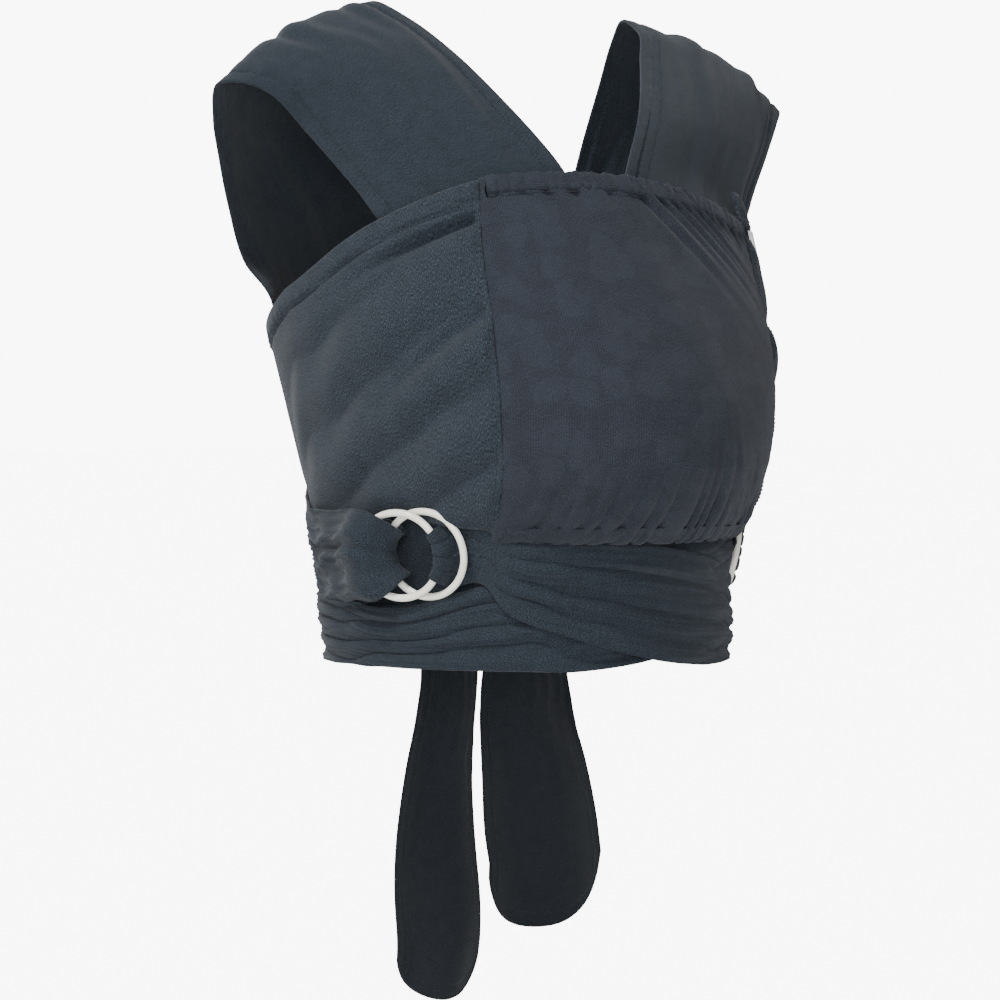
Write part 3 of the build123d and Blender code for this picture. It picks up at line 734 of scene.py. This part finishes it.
def wing(side):
    """One wing, its folds and its hem."""
    u = np.linspace(0, 1, WING_COLUMNS)[None, :]
    v = np.linspace(0, 1, WING_ROWS)[:, None]
    angle = 38 + (179.9 - 38) * u
    for _ in range(3):
        z = eased(WING_LOW, angle) + (eased(WING_TOP, angle) - eased(WING_LOW, angle)) * v
        seam = np.degrees(np.arcsin(np.clip((seam_half(z) + 0.6) / section(z)[0], 0, 0.98)))
        angle = seam + (179.85 - seam) * u
    points = on_form(side * angle, z, 0.2)
    from_top = eased(WING_TOP, angle) - z
    around = angle / 180 * WING_ROUND
    # soft folds: diagonal ones in front, a few shallow ones behind
    slope = z * 0.80 + around * 0.55
    bend = 6 * wobble(around, 71 + side, 130)
    front = smooth_step((angle - 38) / 12) * smooth_step((112 - angle) / 35)
    rear = smooth_step((angle - 110) / 30)
    folds = 1.1 * wobble(around + 0.5 * z, 61 + side, 120)
    folds = folds + 7.5 * front * (scallop((slope + bend) / 46, 1.3) - 0.5) * smooth_step((from_top - 14) / 50)
    folds = folds + 1.5 * rear * wobble(z * 0.9 - around * 0.25, 75 + side, 60) * smooth_step((from_top - 14) / 30)
    # the drag folds that leave the pouch's corner
    deep = smooth_step((78 - angle) / 26)
    tuck = 27 + 0.16 * (angle - 38)
    low = tuck + 62 + 0.9 * (angle - 38)
    for at, height, width in ((20.5, 2.4, 3.6), (tuck, -7.5, 4.2), (tuck + 15, 3.0, 10), (low, -6.0, 7),
                              (low + 20, 2.5, 13)):
        folds = folds + height * deep * groove(from_top, at, width)
    # the dent where the rings press
    folds = folds - 5.0 * groove(angle, 51, 9) * groove(z - eased(WING_LOW, angle), 0, 22)
    # the hem and the two seams
    folds = folds * (1 - 0.8 * smooth_step((16 - from_top) / 8)) + 1.9 * smooth_step((15.2 - from_top) / 1.2)
    folds = folds - 1.3 * groove(from_top, 12.6, 0.9) - 2.4 * groove(from_top, 16.6, 1.5)
    folds = folds - 1.0 * smooth_step((1.6 - from_top) / 1.6)
    folds = folds + 0.35 * np.sin(around / 1.9 + 3 * wobble(around, 81, 40)) * groove(from_top, WING_HEM, 4)
    folds = folds * smooth_step(0.15 + u / 0.02) - 0.9 * np.exp(-u / 0.006) - 0.8 * np.exp(-(1 - u) / 0.006)
    piece = cloth(f"{NAMES[side]}_wing_cloth", points, folds, 1.9, WING_JERSEY, inside=(0, 20, -260))
    surface, normal = lifted(points, folds, (0, 20, -260))
    pick = (np.argmin(np.abs(from_top - WING_HEM), axis=0), np.arange(surface.shape[1]))
    stitch_along("wing_stitches", surface[pick], normal[pick])
    for column in (4, -5):
        stitch_along("wing_stitches", surface[:, column], normal[:, column], proud=0.3)
    return on_sling(piece, "wing_jersey", f"{NAMES[side]}_wing", f"{NAMES[side]}_wing_hem")


wings = {side: wing(side) for side in NAMES}

# %%
# The facings: the lower end of each wing, tucked behind the belt


def facing_cloth(side):
    """The tucked end of a wing, behind the belt and the rings."""
    a = np.linspace(49, 99, 90)[None, :]
    z = np.linspace(-436, -350, 60)[:, None]
    folds = -0.6 + 0.6 * wobble(a + 0.3 * z, 55 + side, 22)
    piece = cloth(f"{NAMES[side]}_facing_cloth", on_form(side * a, z + 0 * a, -13.6), folds, 1.6, WING_JERSEY,
                  inside=(0, 10, -400))
    return on_sling(piece, "wing_jersey", f"{NAMES[side]}_wing_facing")


facings = {side: facing_cloth(side) for side in NAMES}

# %% [markdown]
# ## The long bands
# A band starts behind the pouch at the far hip, crosses the chest, goes over the shoulder, crosses the
# back and is gathered at the other hip, where it is sewn into a loop round two rings. Each row below is
# the band's edge by the neck, its edge by the arm, and how far the cloth between them stands proud.

# %%
# Rows of the bands over the shoulders
SHOULDER = {
    RIGHT: (
        ((62, -133, -99), (185, -42, -119), 12), ((80, -98, -58), (209, -17, -80), 17),
        ((96, -44, -12), (238, -8, -50), 18), ((108, -4, 15), (258, 6, -42), 15),
        ((120, 25, 30), (266, 22, -44), 14), ((121, 58, 17), (256, 44, -66), 15),
        ((106, 92, -8), (240, 62, -98), 17), ((84, 121, -42), (222, 79, -132), 18),
        ((44, 143, -92), (200, 92, -174), 14)),
    LEFT: (
        ((2, -140, -99), (200, -46, -120), 14), ((40, -103, -56), (236, -22, -80), 20),
        ((86, -44, -10), (258, -10, -50), 20), ((114, -4, 20), (274, 6, -38), 16),
        ((121, 25, 32), (280, 22, -40), 14), ((133, 56, 18), (272, 46, -58), 14),
        ((145, 90, -16), (254, 64, -92), 16), ((147, 116, -62), (232, 84, -128), 14),
        ((145, 133, -108), (202, 92, -166), 10)),
}
CHEST = {
    RIGHT: (((-119, -356), (-112, -388)), ((-90, -310), (-70, -378)), ((-50, -245), (-20, -340)),
            ((-5, -185), (60, -275)), ((30, -152), (120, -215)), ((48, -135), (160, -172))),
    LEFT: (((-119, -356), (-112, -388)), ((-100, -310), (-70, -378)), ((-78, -250), (-20, -340)),
           ((-50, -190), (60, -275)), ((-33, -155), (120, -215)), ((-20, -136), (160, -172))),
}
BACK = {
    RIGHT: (((14, -138), (184, -205)), ((6, -156), (164, -236)), ((-10, -182), (120, -265)),
            ((-44, -224), (60, -304)),
            ((-80, -266), (-25, -345)), ((-112, -307), (-85, -378))),
    LEFT: (((131, -158), (186, -200)), ((117, -183), (164, -235)), ((85, -213), (120, -265)),
           ((25, -252), (60, -304)),
           ((-35, -284), (-25, -345)), ((-95, -318), (-85, -378))),
}
HIP = (((126, -345), (124, -404), 1.0), ((116, -356), (116, -418), 3.8), ((104, -364), (104, -432), 5.2),
       ((94, -366), (94, -437), 8.0), ((87, -366), (87, -437), 10.4))
CHEST_GROWTH = {RIGHT: -7.8, LEFT: -10.7}
BACK_GROWTH = {RIGHT: -2.4, LEFT: -5.3}

# %%
# The hips: where each pair of rings lies
RING_RADIUS, ROD, SPACING, STEP = 32.75, 5.5, 19.0, 6.6
TURNED, LEAN, TILT = math.radians(60), math.radians(9), math.radians(3)


def hip_axes(side):
    """The directions of a pair of rings: ahead along the belt, outwards, and up."""
    level = np.array((side * math.sin(TURNED), -math.cos(TURNED), 0))
    along = np.array((-side * math.cos(TURNED), -math.sin(TURNED), 0))
    upright = np.array((0, 0, 1.0))
    lean, stand = math.sin(LEAN), math.cos(LEAN)
    return along, level * stand - upright * lean, upright * stand + level * lean


def pair_middle(side):
    """The middle of a pair of rings, read from the frame."""
    boxes = (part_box(f"{NAMES[side]}_{place}_ring") for place in ("outer", "inner"))
    return sum(np.array(corner[:]) for box in boxes for corner in box) / 4 * 1000


def at_hip(side, ahead, outward, higher):
    """A point given from the middle of a pair of rings."""
    along, out, up = hip_axes(side)
    return pair_middle(side) + along * ahead + out * outward + up * higher


def hip_row(side, ahead, outward, height):
    """An upright row of points near the rings."""
    return arc_row(at_hip(side, ahead, outward, height / 2), at_hip(side, ahead, outward + 0.6, 0),
                   at_hip(side, ahead, outward, -height / 2))


print("pair middles", pair_middle(RIGHT).round(1), pair_middle(LEFT).round(1))

# %%
# The bands


def shoulder_row(side, neck, arm, proud):
    """A row over the shoulder, bowed away from the wearer."""
    first, last = (np.array((side * p[0], p[1], p[2]), float) for p in (neck, arm))
    middle = (first + last) / 2
    outward = np.array((side * 0.45, (middle[1] - 30) / 120, 1 + min(0, middle[2] / 100)))
    chord = (last - first) / np.linalg.norm(last - first)
    outward = outward - chord * outward.dot(chord)
    return arc_row(first, middle + outward / np.linalg.norm(outward) * proud, last)


def even(first, last):
    """Five even steps from one value to another."""
    return first + EVEN * (last - first)


def form_row(side, first, last, growth, front):
    """A row on the form between two edges, given as distance from the middle and height."""
    return at_x(side * even(first[0], last[0]), even(first[1], last[1]), growth, front)


def angle_row(side, first, last, growth):
    """A row on the form between two edges, given as angle and height."""
    return on_form(side * even(first[0], last[0]), even(first[1], last[1]), growth)


# the loop's rows, from the hip over the rods and back: distance from the rings' middle, height and sweep
LOOP_PATH = ((58, 3.5, 38), (53, 7.5, 42), (47.5, 10.5, 47), (42.5, 11.8, 51), (36.7, 10.9, 55),
             (29, 6.0, 60), (21.8, 1.4, 64), (18.6, -3.6, 66), (19, -8.6, 64), (23, -11.4, 58), (28.8, -10.9, 52),
             (36.5, -6.4, 46), (44.2, -2.2, 41), (52, -6, 34))


def fan_row(side, radial, high, sweep):
    """A row on an arc round the middle of a pair of rings, on the side away from the pouch."""
    along, out, up = hip_axes(side)
    turns = np.radians(np.linspace(sweep, -sweep, 5))[:, None]
    return pair_middle(side) + (up * np.sin(turns) - along * np.cos(turns)) * radial + out * high


def band_rows(side):
    """All rows of one band, from behind the pouch to its rings."""
    rows = [form_row(side, a, b, CHEST_GROWTH[side], True) for a, b in CHEST[side]]
    rows += [shoulder_row(side, *row) for row in SHOULDER[side]]
    rows += [form_row(side, a, b, BACK_GROWTH[side] - (1.5 if k < 2 else 0), False)
             for k, (a, b) in enumerate(BACK[side])]
    rows += [angle_row(side, a, b, g) for a, b, g in HIP]
    rows += [fan_row(side, *bend) for bend in LOOP_PATH]
    return rows


def turned_out(points, folds, at, outward):
    """The same sheet, mirrored if its normal at one point does not look outward, and its normals."""
    normal = facing(points)
    if normal[at].dot(outward) < 0:
        points, folds = points[:, ::-1], folds[:, ::-1]
        normal = facing(points)
    return points, folds, normal


BAND_ROWS, BAND_COLUMNS, BAND_HEM = 440, 106, 13
LOOP_LONG, ROD_LONG, GATHERED, PLAIN_END = 105, 76, 340, 330


def band(side):
    """One long band with its folds, hems and stitches."""
    points = across_rows(through_rows(band_rows(side), BAND_ROWS), BAND_COLUMNS)
    u, v = lengths(points)
    wide = np.ptp(u, axis=1)[:, None]
    t = np.linspace(0, 1, BAND_COLUMNS)[None, :]
    total = v[-1, 0]
    summit = np.argmax(points[:, 2, 2])
    top = v[summit, 0]
    edge = np.minimum(t, 1 - t) * wide
    # pleats at the hip, calmer in the loop and calmest over the rods
    gather = smooth_step((v - (total - GATHERED)) / 190)
    pleat = scallop(t * 3.3 + 0.12 + 0.3 * wobble(v, 90 + side, 120) + 0.3 * wobble(t, 12, 0.6), 0.6)
    small_pleat = scallop(t * 8.6 + 0.5 * wobble(v, 93 + side, 110), 0.8)
    amplitude = 6.0 - 2.2 * smooth_step((v - (total - LOOP_LONG)) / 14)
    amplitude = amplitude - 3.0 * smooth_step((v - (total - ROD_LONG)) / 14)
    folds = amplitude * gather * (pleat - 0.35 + 0.16 * small_pleat)
    # slack and creases over the shoulder and down the back
    plain = 1 - gather
    fan = wobble(t * 3.1 + 0.0018 * (v - top), 101 + side, 1.0)
    folds = folds + 1.7 * fan * plain * smooth_step(edge / 25)
    crease = scallop(t * 5.0 + 0.5 * wobble(v, 111 + side, 240), 1.5) - 0.5
    near_top = groove(v, top, 90) + 0.5 * groove(v, top + 170, 90)
    folds = folds + 1.4 * crease * near_top * smooth_step((edge - 14) / 20)
    # hems
    folds = folds + 0.8 * smooth_step((15.0 - edge) / 1.5) * plain - 2.0 * groove(edge, BAND_HEM, 1.3) * plain
    folds = folds - 1.0 * smooth_step((1.6 - edge) / 1.6) * plain
    folds = folds + 0.3 * np.sin(v / 1.9 + 3 * wobble(v, 15, 50)) * groove(edge, 12, 5) * plain
    points, folds, normal = turned_out(points, folds, (summit, BAND_COLUMNS // 2), np.array((side * 0.6, 0, 1.0)))
    piece = cloth(f"{NAMES[side]}_band_cloth", points, folds, 2.1, BAND_JERSEY, inside=points - normal)
    surface = points + normal * folds[..., None]
    rows = slice(0, int(np.searchsorted(v[:, 0], total - PLAIN_END)))
    off_hem = np.abs(edge[195] - BAND_HEM)
    for column in (np.argmin(off_hem[:52]), 52 + np.argmin(off_hem[52:])):
        stitch_along("band_stitches", surface[rows, column], normal[rows, column], proud=0.3)
    print("band length", round(total), "width", wide.max().round(), "bow", top.round())
    parts = ("shoulder_band", "chest_band", "back_band", "hip_band", "ring_loop")
    return on_sling(piece, "band_jersey", *(f"{NAMES[side]}_{part}" for part in parts))


bands = {side: band(side) for side in NAMES}

# %% [markdown]
# ## The gathered sashes
# The band's long end comes from below the pouch, goes up through both rings, turns back over the front
# arc of the outer ring, and runs across the front, under the other rings and round to the knot. It is
# gathered all the way, so it is made as one narrow sheet with deep pleats that wander along it.

# %%
# Sash rows
SASH_EDGES = (((104, -386), (106, -440)), ((60, -386), (60, -460)), ((10, -389), (4, -476)),
              ((-50, -400), (-56, -484)),
              ((-96, -412), (-100, -484)), ((-128, -424), (-128, -484)))
SASH_GROWTH = {LEFT: 5.6, RIGHT: 9.4}
SASH_BACK = {RIGHT: (104, 74), LEFT: (-100, -50, 0, 42)}
SASH_ROWS, SASH_COLUMNS, SASH_PLEATS = 520, 84, 3.6


def fold_rows(side, half_sweep=33.0):
    """Rows of the hairpin fold round the front arc of the outer ring."""
    along, out, up = hip_axes(side)
    middle = pair_middle(side) - along * SPACING / 2 + out * STEP / 2
    axis = out * math.cos(TILT) + along * math.sin(TILT)
    ahead = along * math.cos(TILT) - out * math.sin(TILT)
    reach, drop, round_rod = 11.75, -6.9, ROD / 2 + 0.6 + 1.2
    path = [(reach + 3, drop - 1.5 * 2.4 - 0.4)]
    for angle in np.linspace(-75, -285, 15):
        a = math.radians(angle)
        path.append((round_rod * math.cos(a), round_rod * math.sin(a)))
    path.append((reach + 2, drop - 2.6))
    rows = []
    for radial, high in path:
        row = []
        for sweep in np.radians(np.linspace(half_sweep, -half_sweep, 5)):
            spoke = ahead * math.cos(sweep) + up * math.sin(sweep)
            row.append(middle + spoke * (RING_RADIUS + radial) + axis * high)
        rows.append(row)
    return rows


def belt_row(side, first, last, growth):
    """A row of the belt in front. Its upper part goes straight up, behind the foot of the pouch."""
    z = even(first[1], last[1])
    row = at_x(side * even(first[0], last[0]), np.minimum(z, -403), growth)
    row[:, 2] = z
    if first[0] < -80:
        row[:3] *= np.array((0.972, 0.972, 1)) + np.linspace(0, 0.028, 3)[:, None] * (1, 1, 0)
    return row


def sash_rows(side):
    """All rows of one sash, from the strap behind its rings to the knot."""
    fold_end = RING_RADIUS + 11.75
    face = STEP / 2 - math.sin(TILT) * fold_end - 6.9
    strap = [form_row(side, (104, -392), (104, -430), 2.2, True), hip_row(side, 48, face - 4.0, 40)]
    lead = [hip_row(side, 49, face - 1.8, 44)]
    rows = strap + fold_rows(side) + lead
    growth = SASH_GROWTH[side]
    rows += [belt_row(side, a, b, growth) for a, b in SASH_EDGES]
    start = math.degrees(math.asin(128 / (158 + growth)))
    rows += [angle_row(-side, (a, -438 + 5 * smooth_step((a - 76) / 10)), (a, -484), growth)
             for a in np.linspace(start + 16, 128, 7)]
    rows += [form_row(1, (x, -443), (x, -481), growth, False) for x in SASH_BACK[side]]
    return rows


def sash(side):
    """One gathered sash."""
    points = across_rows(through_rows(sash_rows(side), SASH_ROWS), SASH_COLUMNS)
    u, v = lengths(points)
    t = np.linspace(0, 1, SASH_COLUMNS)[None, :]
    # deep pleats of uneven width that wander along the sash, with small ones on them
    wander = 0.9 * wobble(v, 141 + side, 330) + 0.35 * wobble(v, 151 + side, 120)
    open_out = smooth_step((v - 118) / 50)
    crook = np.interp(t, (0, 0.18, 0.32, 0.55, 0.7, 1.0), (0, 0.14, 0.36, 0.52, 0.74, 1.0))
    pleat = scallop(crook * SASH_PLEATS + 0.5 * wander, 0.72)
    small = scallop(crook * 15 - 0.8 * wander + 0.3) - 0.5
    uneven = 0.75 + 0.35 * wobble(t * 3 + v / 260, 161 + side, 1.0)
    folds = (0.5 + 4.9 * open_out) * uneven * (pleat - 0.25) + 0.7 * open_out * small
    # narrow creases where the rings press it flat
    for at, depth in ((0.24, 0.9), (0.5, 1.2), (0.74, 0.9)):
        folds = folds - depth * (1 - open_out) * groove(t + 0.03 * wobble(v, 171 + side, 50), at, 0.025)
    folds = folds * smooth_step((v + 4) / 30)
    in_front = int(SASH_ROWS * 0.62), SASH_COLUMNS // 2
    points, folds, normal = turned_out(points, folds, in_front, points[in_front] - np.array((0, 8, -450.0)))
    piece = cloth(f"{NAMES[side]}_sash_cloth", points, folds, 2.0, BAND_JERSEY, inside=points - normal)
    print("sash length", v[-1, 0].round(), "width", np.ptp(u, axis=1).max().round())
    parts = ("inner_strap", "ring_fold", "sash_lead", "front_sash", "back_sash")
    return on_sling(piece, "band_jersey", *(f"{NAMES[side]}_{part}" for part in parts))


sashes = {side: sash(side) for side in NAMES}

# %% [markdown]
# ## The knot and the tails
# Behind the wearer's left hip the two sashes cross and tie. The knot is a plump lump with a wrap round
# it, both pleated. Two flat tails hang from it.

# %%
# The knot
low_corner, high_corner = (np.array(c[:]) * 1000 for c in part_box("back_knot"))
knot_middle = (low_corner + high_corner) / 2
knot_half = (high_corner - low_corner) / 2


def closed_ball(name, radii, ridges, seed, lean, material):
    """A pleated lump, from a ball whose points are moved."""
    drop_selection()
    bpy.ops.mesh.primitive_uv_sphere_add(segments=96, ring_count=60, radius=1)
    piece = bpy.context.object
    piece.name = name
    p = np.array([v.co[:] for v in piece.data.vertices])
    spin = np.arctan2(p[:, 2], p[:, 1])
    ridge = np.abs(np.sin(ridges / 2 * spin + lean * p[:, 0] + wobble(p[:, 0], seed, 2.0))) ** 0.7
    body = flattened(p, 0.82) * np.asarray(radii)
    body = body * (0.90 + 0.11 * ridge * np.sqrt(np.clip(1 - p[:, 0] ** 2, 0, 1)))[:, None]
    piece.data.vertices.foreach_set("co", ((body + knot_middle) / 1000).reshape(-1).astype(np.float32))
    for loop in piece.data.loops:
        q = p[loop.vertex_index]
        piece.data.uv_layers[0].data[loop.index].uv = (math.atan2(q[2], q[1]) * 0.022, q[0] * 0.033)
    piece.data.update()
    piece.data.shade_smooth()
    piece.data.materials.append(material)
    return piece


knot = on_sling(closed_ball("knot_cloth", knot_half * (1.12, 1.1, 1.05), 9, 171, 1.4, BAND_JERSEY),
                "band_jersey", "back_knot")

turns = np.linspace(0, 2 * np.pi, 140)[:, None]
width = np.linspace(-1, 1, 46)[None, :]
swell = 1 - 0.12 * width**2
wrap_points = np.stack([
    knot_middle[0] + width * 14 + 5 * np.sin(turns) + 0 * turns,
    knot_middle[1] + flattened(np.cos(turns), 0.75) * (knot_half[1] + 3.0) * swell,
    knot_middle[2] + flattened(np.sin(turns), 0.75) * (knot_half[2] + 1.5) * swell], -1)
creases = scallop(width * 2.4 + 0.5 * wobble(turns, 7, 2 * np.pi), 0.7)
wrap = on_sling(cloth("knot_wrap_cloth", wrap_points, 2.4 * creases, 2.0, BAND_JERSEY, inside=knot_middle),
                "band_jersey", "knot_wrap")

# %%
# The tails
# each row of an outline has its height, its left edge and its right edge
TAILS = {
    "right_tail": ((-462, 36, 54), (-474, 24, 56), (-484, 9, 58), (-495, 1, 58), (-520, -3, 57),
                   (-560, -9, 55), (-607, -18, 55), (-657, -26, 57.5), (-700, -29, 60), (-741, -26, 61)),
    "left_tail": ((-462, 60, 80), (-472, 62, 98), (-483, 64, 130), (-495, 64, 148), (-520, 63, 154),
                  (-560, 61, 163), (-605, 60, 175), (-648, 62, 184.5), (-676, 66, 188)),
}
TAIL_TIP = {"right_tail": 46, "left_tail": 60}
TAIL_SLIP = {"right_tail": 0.05, "left_tail": -0.12}
TAIL_FACE, TAIL_HEM, TAIL_THICK = 142.0, 10.5, 2.6
TAIL_ROWS, TAIL_COLUMNS, TIP_ROWS = 150, 74, 50
BEHIND_TAILS = (60, -400, -600)


def tail(name, outline, seed):
    """One flat tail: gathered at the knot, open lower down, with a rounded, hemmed end."""
    outline = through_rows(np.array(outline, float)[:, None, :], TAIL_ROWS)[:, 0]
    t = np.linspace(0, 1, TAIL_COLUMNS)[None, :]
    tip = TAIL_TIP[name] * np.linspace(0, 1, TIP_ROWS + 1)[1:, None]
    bow = 0.002 + np.sqrt(np.clip(1 - np.abs(2 * t - 1) ** 2.1, 0, 1))
    z = np.concatenate([outline[:, :1] + 0 * t, outline[-1, 0] - tip * bow])
    left, right = (np.concatenate([outline[:, k:k + 1], np.full((TIP_ROWS, 1), outline[-1, k])]) for k in (1, 2))
    slip = np.concatenate([0 * outline[:, :1], tip]) * TAIL_SLIP[name] * bow
    points = np.stack([left + (right - left) * t + slip, TAIL_FACE + 0 * z, z], -1)
    # the sway, the soft billows and the gathers below the knot
    down = outline[0, 0] - z
    sway = 6 * wobble(down, seed, 420) * smooth_step(down / 120)
    billow = (3.5 + 3 * down / down.max()) * np.sin(np.pi * (t * 2.3 + 0.4 * wobble(down, seed + 1, 300)))
    gathered = 2.6 * scallop(t * 6 + 0.3 * wobble(down, seed + 2, 90)) * np.exp(-down / 60)
    points[..., 1] += (sway + billow * smooth_step(down / 90) + gathered).clip(-8, 12)
    points[..., 1] += 6 * smooth_step((22 - down) / 22)
    # the hem
    edge = np.minimum(np.minimum(t, 1 - t) * (right - left), 0.8 * (points[..., 2] - points[-1:, :, 2]))
    folds = 0.7 * smooth_step((12 - edge) / 1.5) - 0.7 * groove(edge, TAIL_HEM, 0.9)
    folds = folds - 0.9 * smooth_step((1.5 - edge) / 1.5)
    piece = cloth(f"{name}_cloth", points, folds, TAIL_THICK, SHADED_TAIL_JERSEY, inside=BEHIND_TAILS)
    surface, normal = lifted(points, folds, BEHIND_TAILS)
    off_hem = np.abs(edge[100] - TAIL_HEM)
    for way, depth in ((1, 0), (-1, TAIL_THICK)):
        for column in (np.argmin(off_hem[:37]), 37 + np.argmin(off_hem[37:])):
            line = surface[:-8, column] - depth * normal[:-8, column]
            stitch_along(f"{name}_stitches", line, way * normal[:-8, column])
    x_middle = (outline[0, 1] + outline[0, 2]) / 2000
    start, end = (x_middle, 0.142, -0.482), (x_middle, 0.142, -0.545)
    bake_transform(piece)
    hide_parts(name)
    return piece, start, end


tails = {name: tail(name, outline, 181 + k) for k, (name, outline) in enumerate(TAILS.items())}

# %% [markdown]
# ## The side label and all of the stitches
# A blank ribbon, folded in two, is caught in the seam between the pouch and the wearer's left wing.

# %%
# Label
LABEL_ANGLE, LABEL_HEIGHT = 42.5, -157
t = np.linspace(0, 1, 40)[:, None]
h = np.linspace(-10, 10, 12)[None, :]
swing = np.where(t < 0.5, 2 * t, 2 - 2 * t)
points = on_form(LABEL_ANGLE + 4.2 * swing + 0 * h, LABEL_HEIGHT + h - 1.5 * swing, 0)
outward = np.subtract(*(on_form(LABEL_ANGLE + 0 * swing + 0 * h, LABEL_HEIGHT + h, grow) for grow in (1, 0)))
points = points + outward * (1.2 + 1.6 * smooth_step((t - 0.44) / 0.12) + 1.4 * np.sin(np.pi * swing))[..., None]
label = cloth("side_label_ribbon", points, 0.0, 0.35, LABEL_WEAVE, inside=(60, -100, -157))
on_sling(label, "label_ribbon", "side_label")

# %%
# Sewing
wing_stitches, band_stitches = (sew(key, (0.001, 0.002)) for key in ("wing_stitches", "band_stitches"))
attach(wing_stitches, "sling")
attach(band_stitches, "sling")
for name, (piece, start, end) in tails.items():
    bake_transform(sew(f"{name}_stitches"))

# %% [markdown]
# ## The cloth's cut sizes
# Every sheet is listed with what it was cut to before it was gathered and hung, and what it lies on. Its area is
# printed against that cut.

# %%
# The sheets and their cuts


def cut_area(piece):
    """The area of one face of a finished sheet, in square metres."""
    return sum(p.area for p in piece.data.polygons) / 2


sheets = [(pouch, (0.30, 0.33), "gathered", ["right_band_cloth"], [top_casing, bottom_casing, label]),
          (lining, (0.27, 0.28), "gathered", ["pouch_front"], [])]
for side, name in NAMES.items():
    sheets.append((wings[side], (0.40, 0.24), "stretched", ["pouch_front"],
                   [wing_stitches] if side == RIGHT else []))
    sheets.append((facings[side], (0.13, 0.09), "stretched", [f"{name}_wing_cloth"], []))
    sheets.append((bands[side], (0.18, 1.15), "draped", [f"{name}_wing_cloth"],
                   [band_stitches] if side == RIGHT else []))
    sheets.append((sashes[side], (0.075, 0.75), "gathered", [f"{name}_outer_ring"], []))
sheets.append((wrap, (0.04, 0.15), "gathered", ["knot_cloth"], []))
for name, (piece, _, _) in tails.items():
    sheets.append((piece, (0.1, 0.3) if name == "right_tail" else (0.11, 0.26), "hung", ["knot_cloth"],
                   [bpy.data.objects[f"{name}_stitches"]]))
for piece, flat, held, on, extra in sheets:
    share = cut_area(piece) / (flat[0] * flat[1])
    print(f"{piece.name:22s} {cut_area(piece):.4f} m2, {share:.2f} of its cut")

# %%
# Sizes, and finish
new_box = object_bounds()
for title, box in (("cad", cad_box), ("now", new_box)):
    print(title, [[round(v, 3) for v in corner] for corner in box])
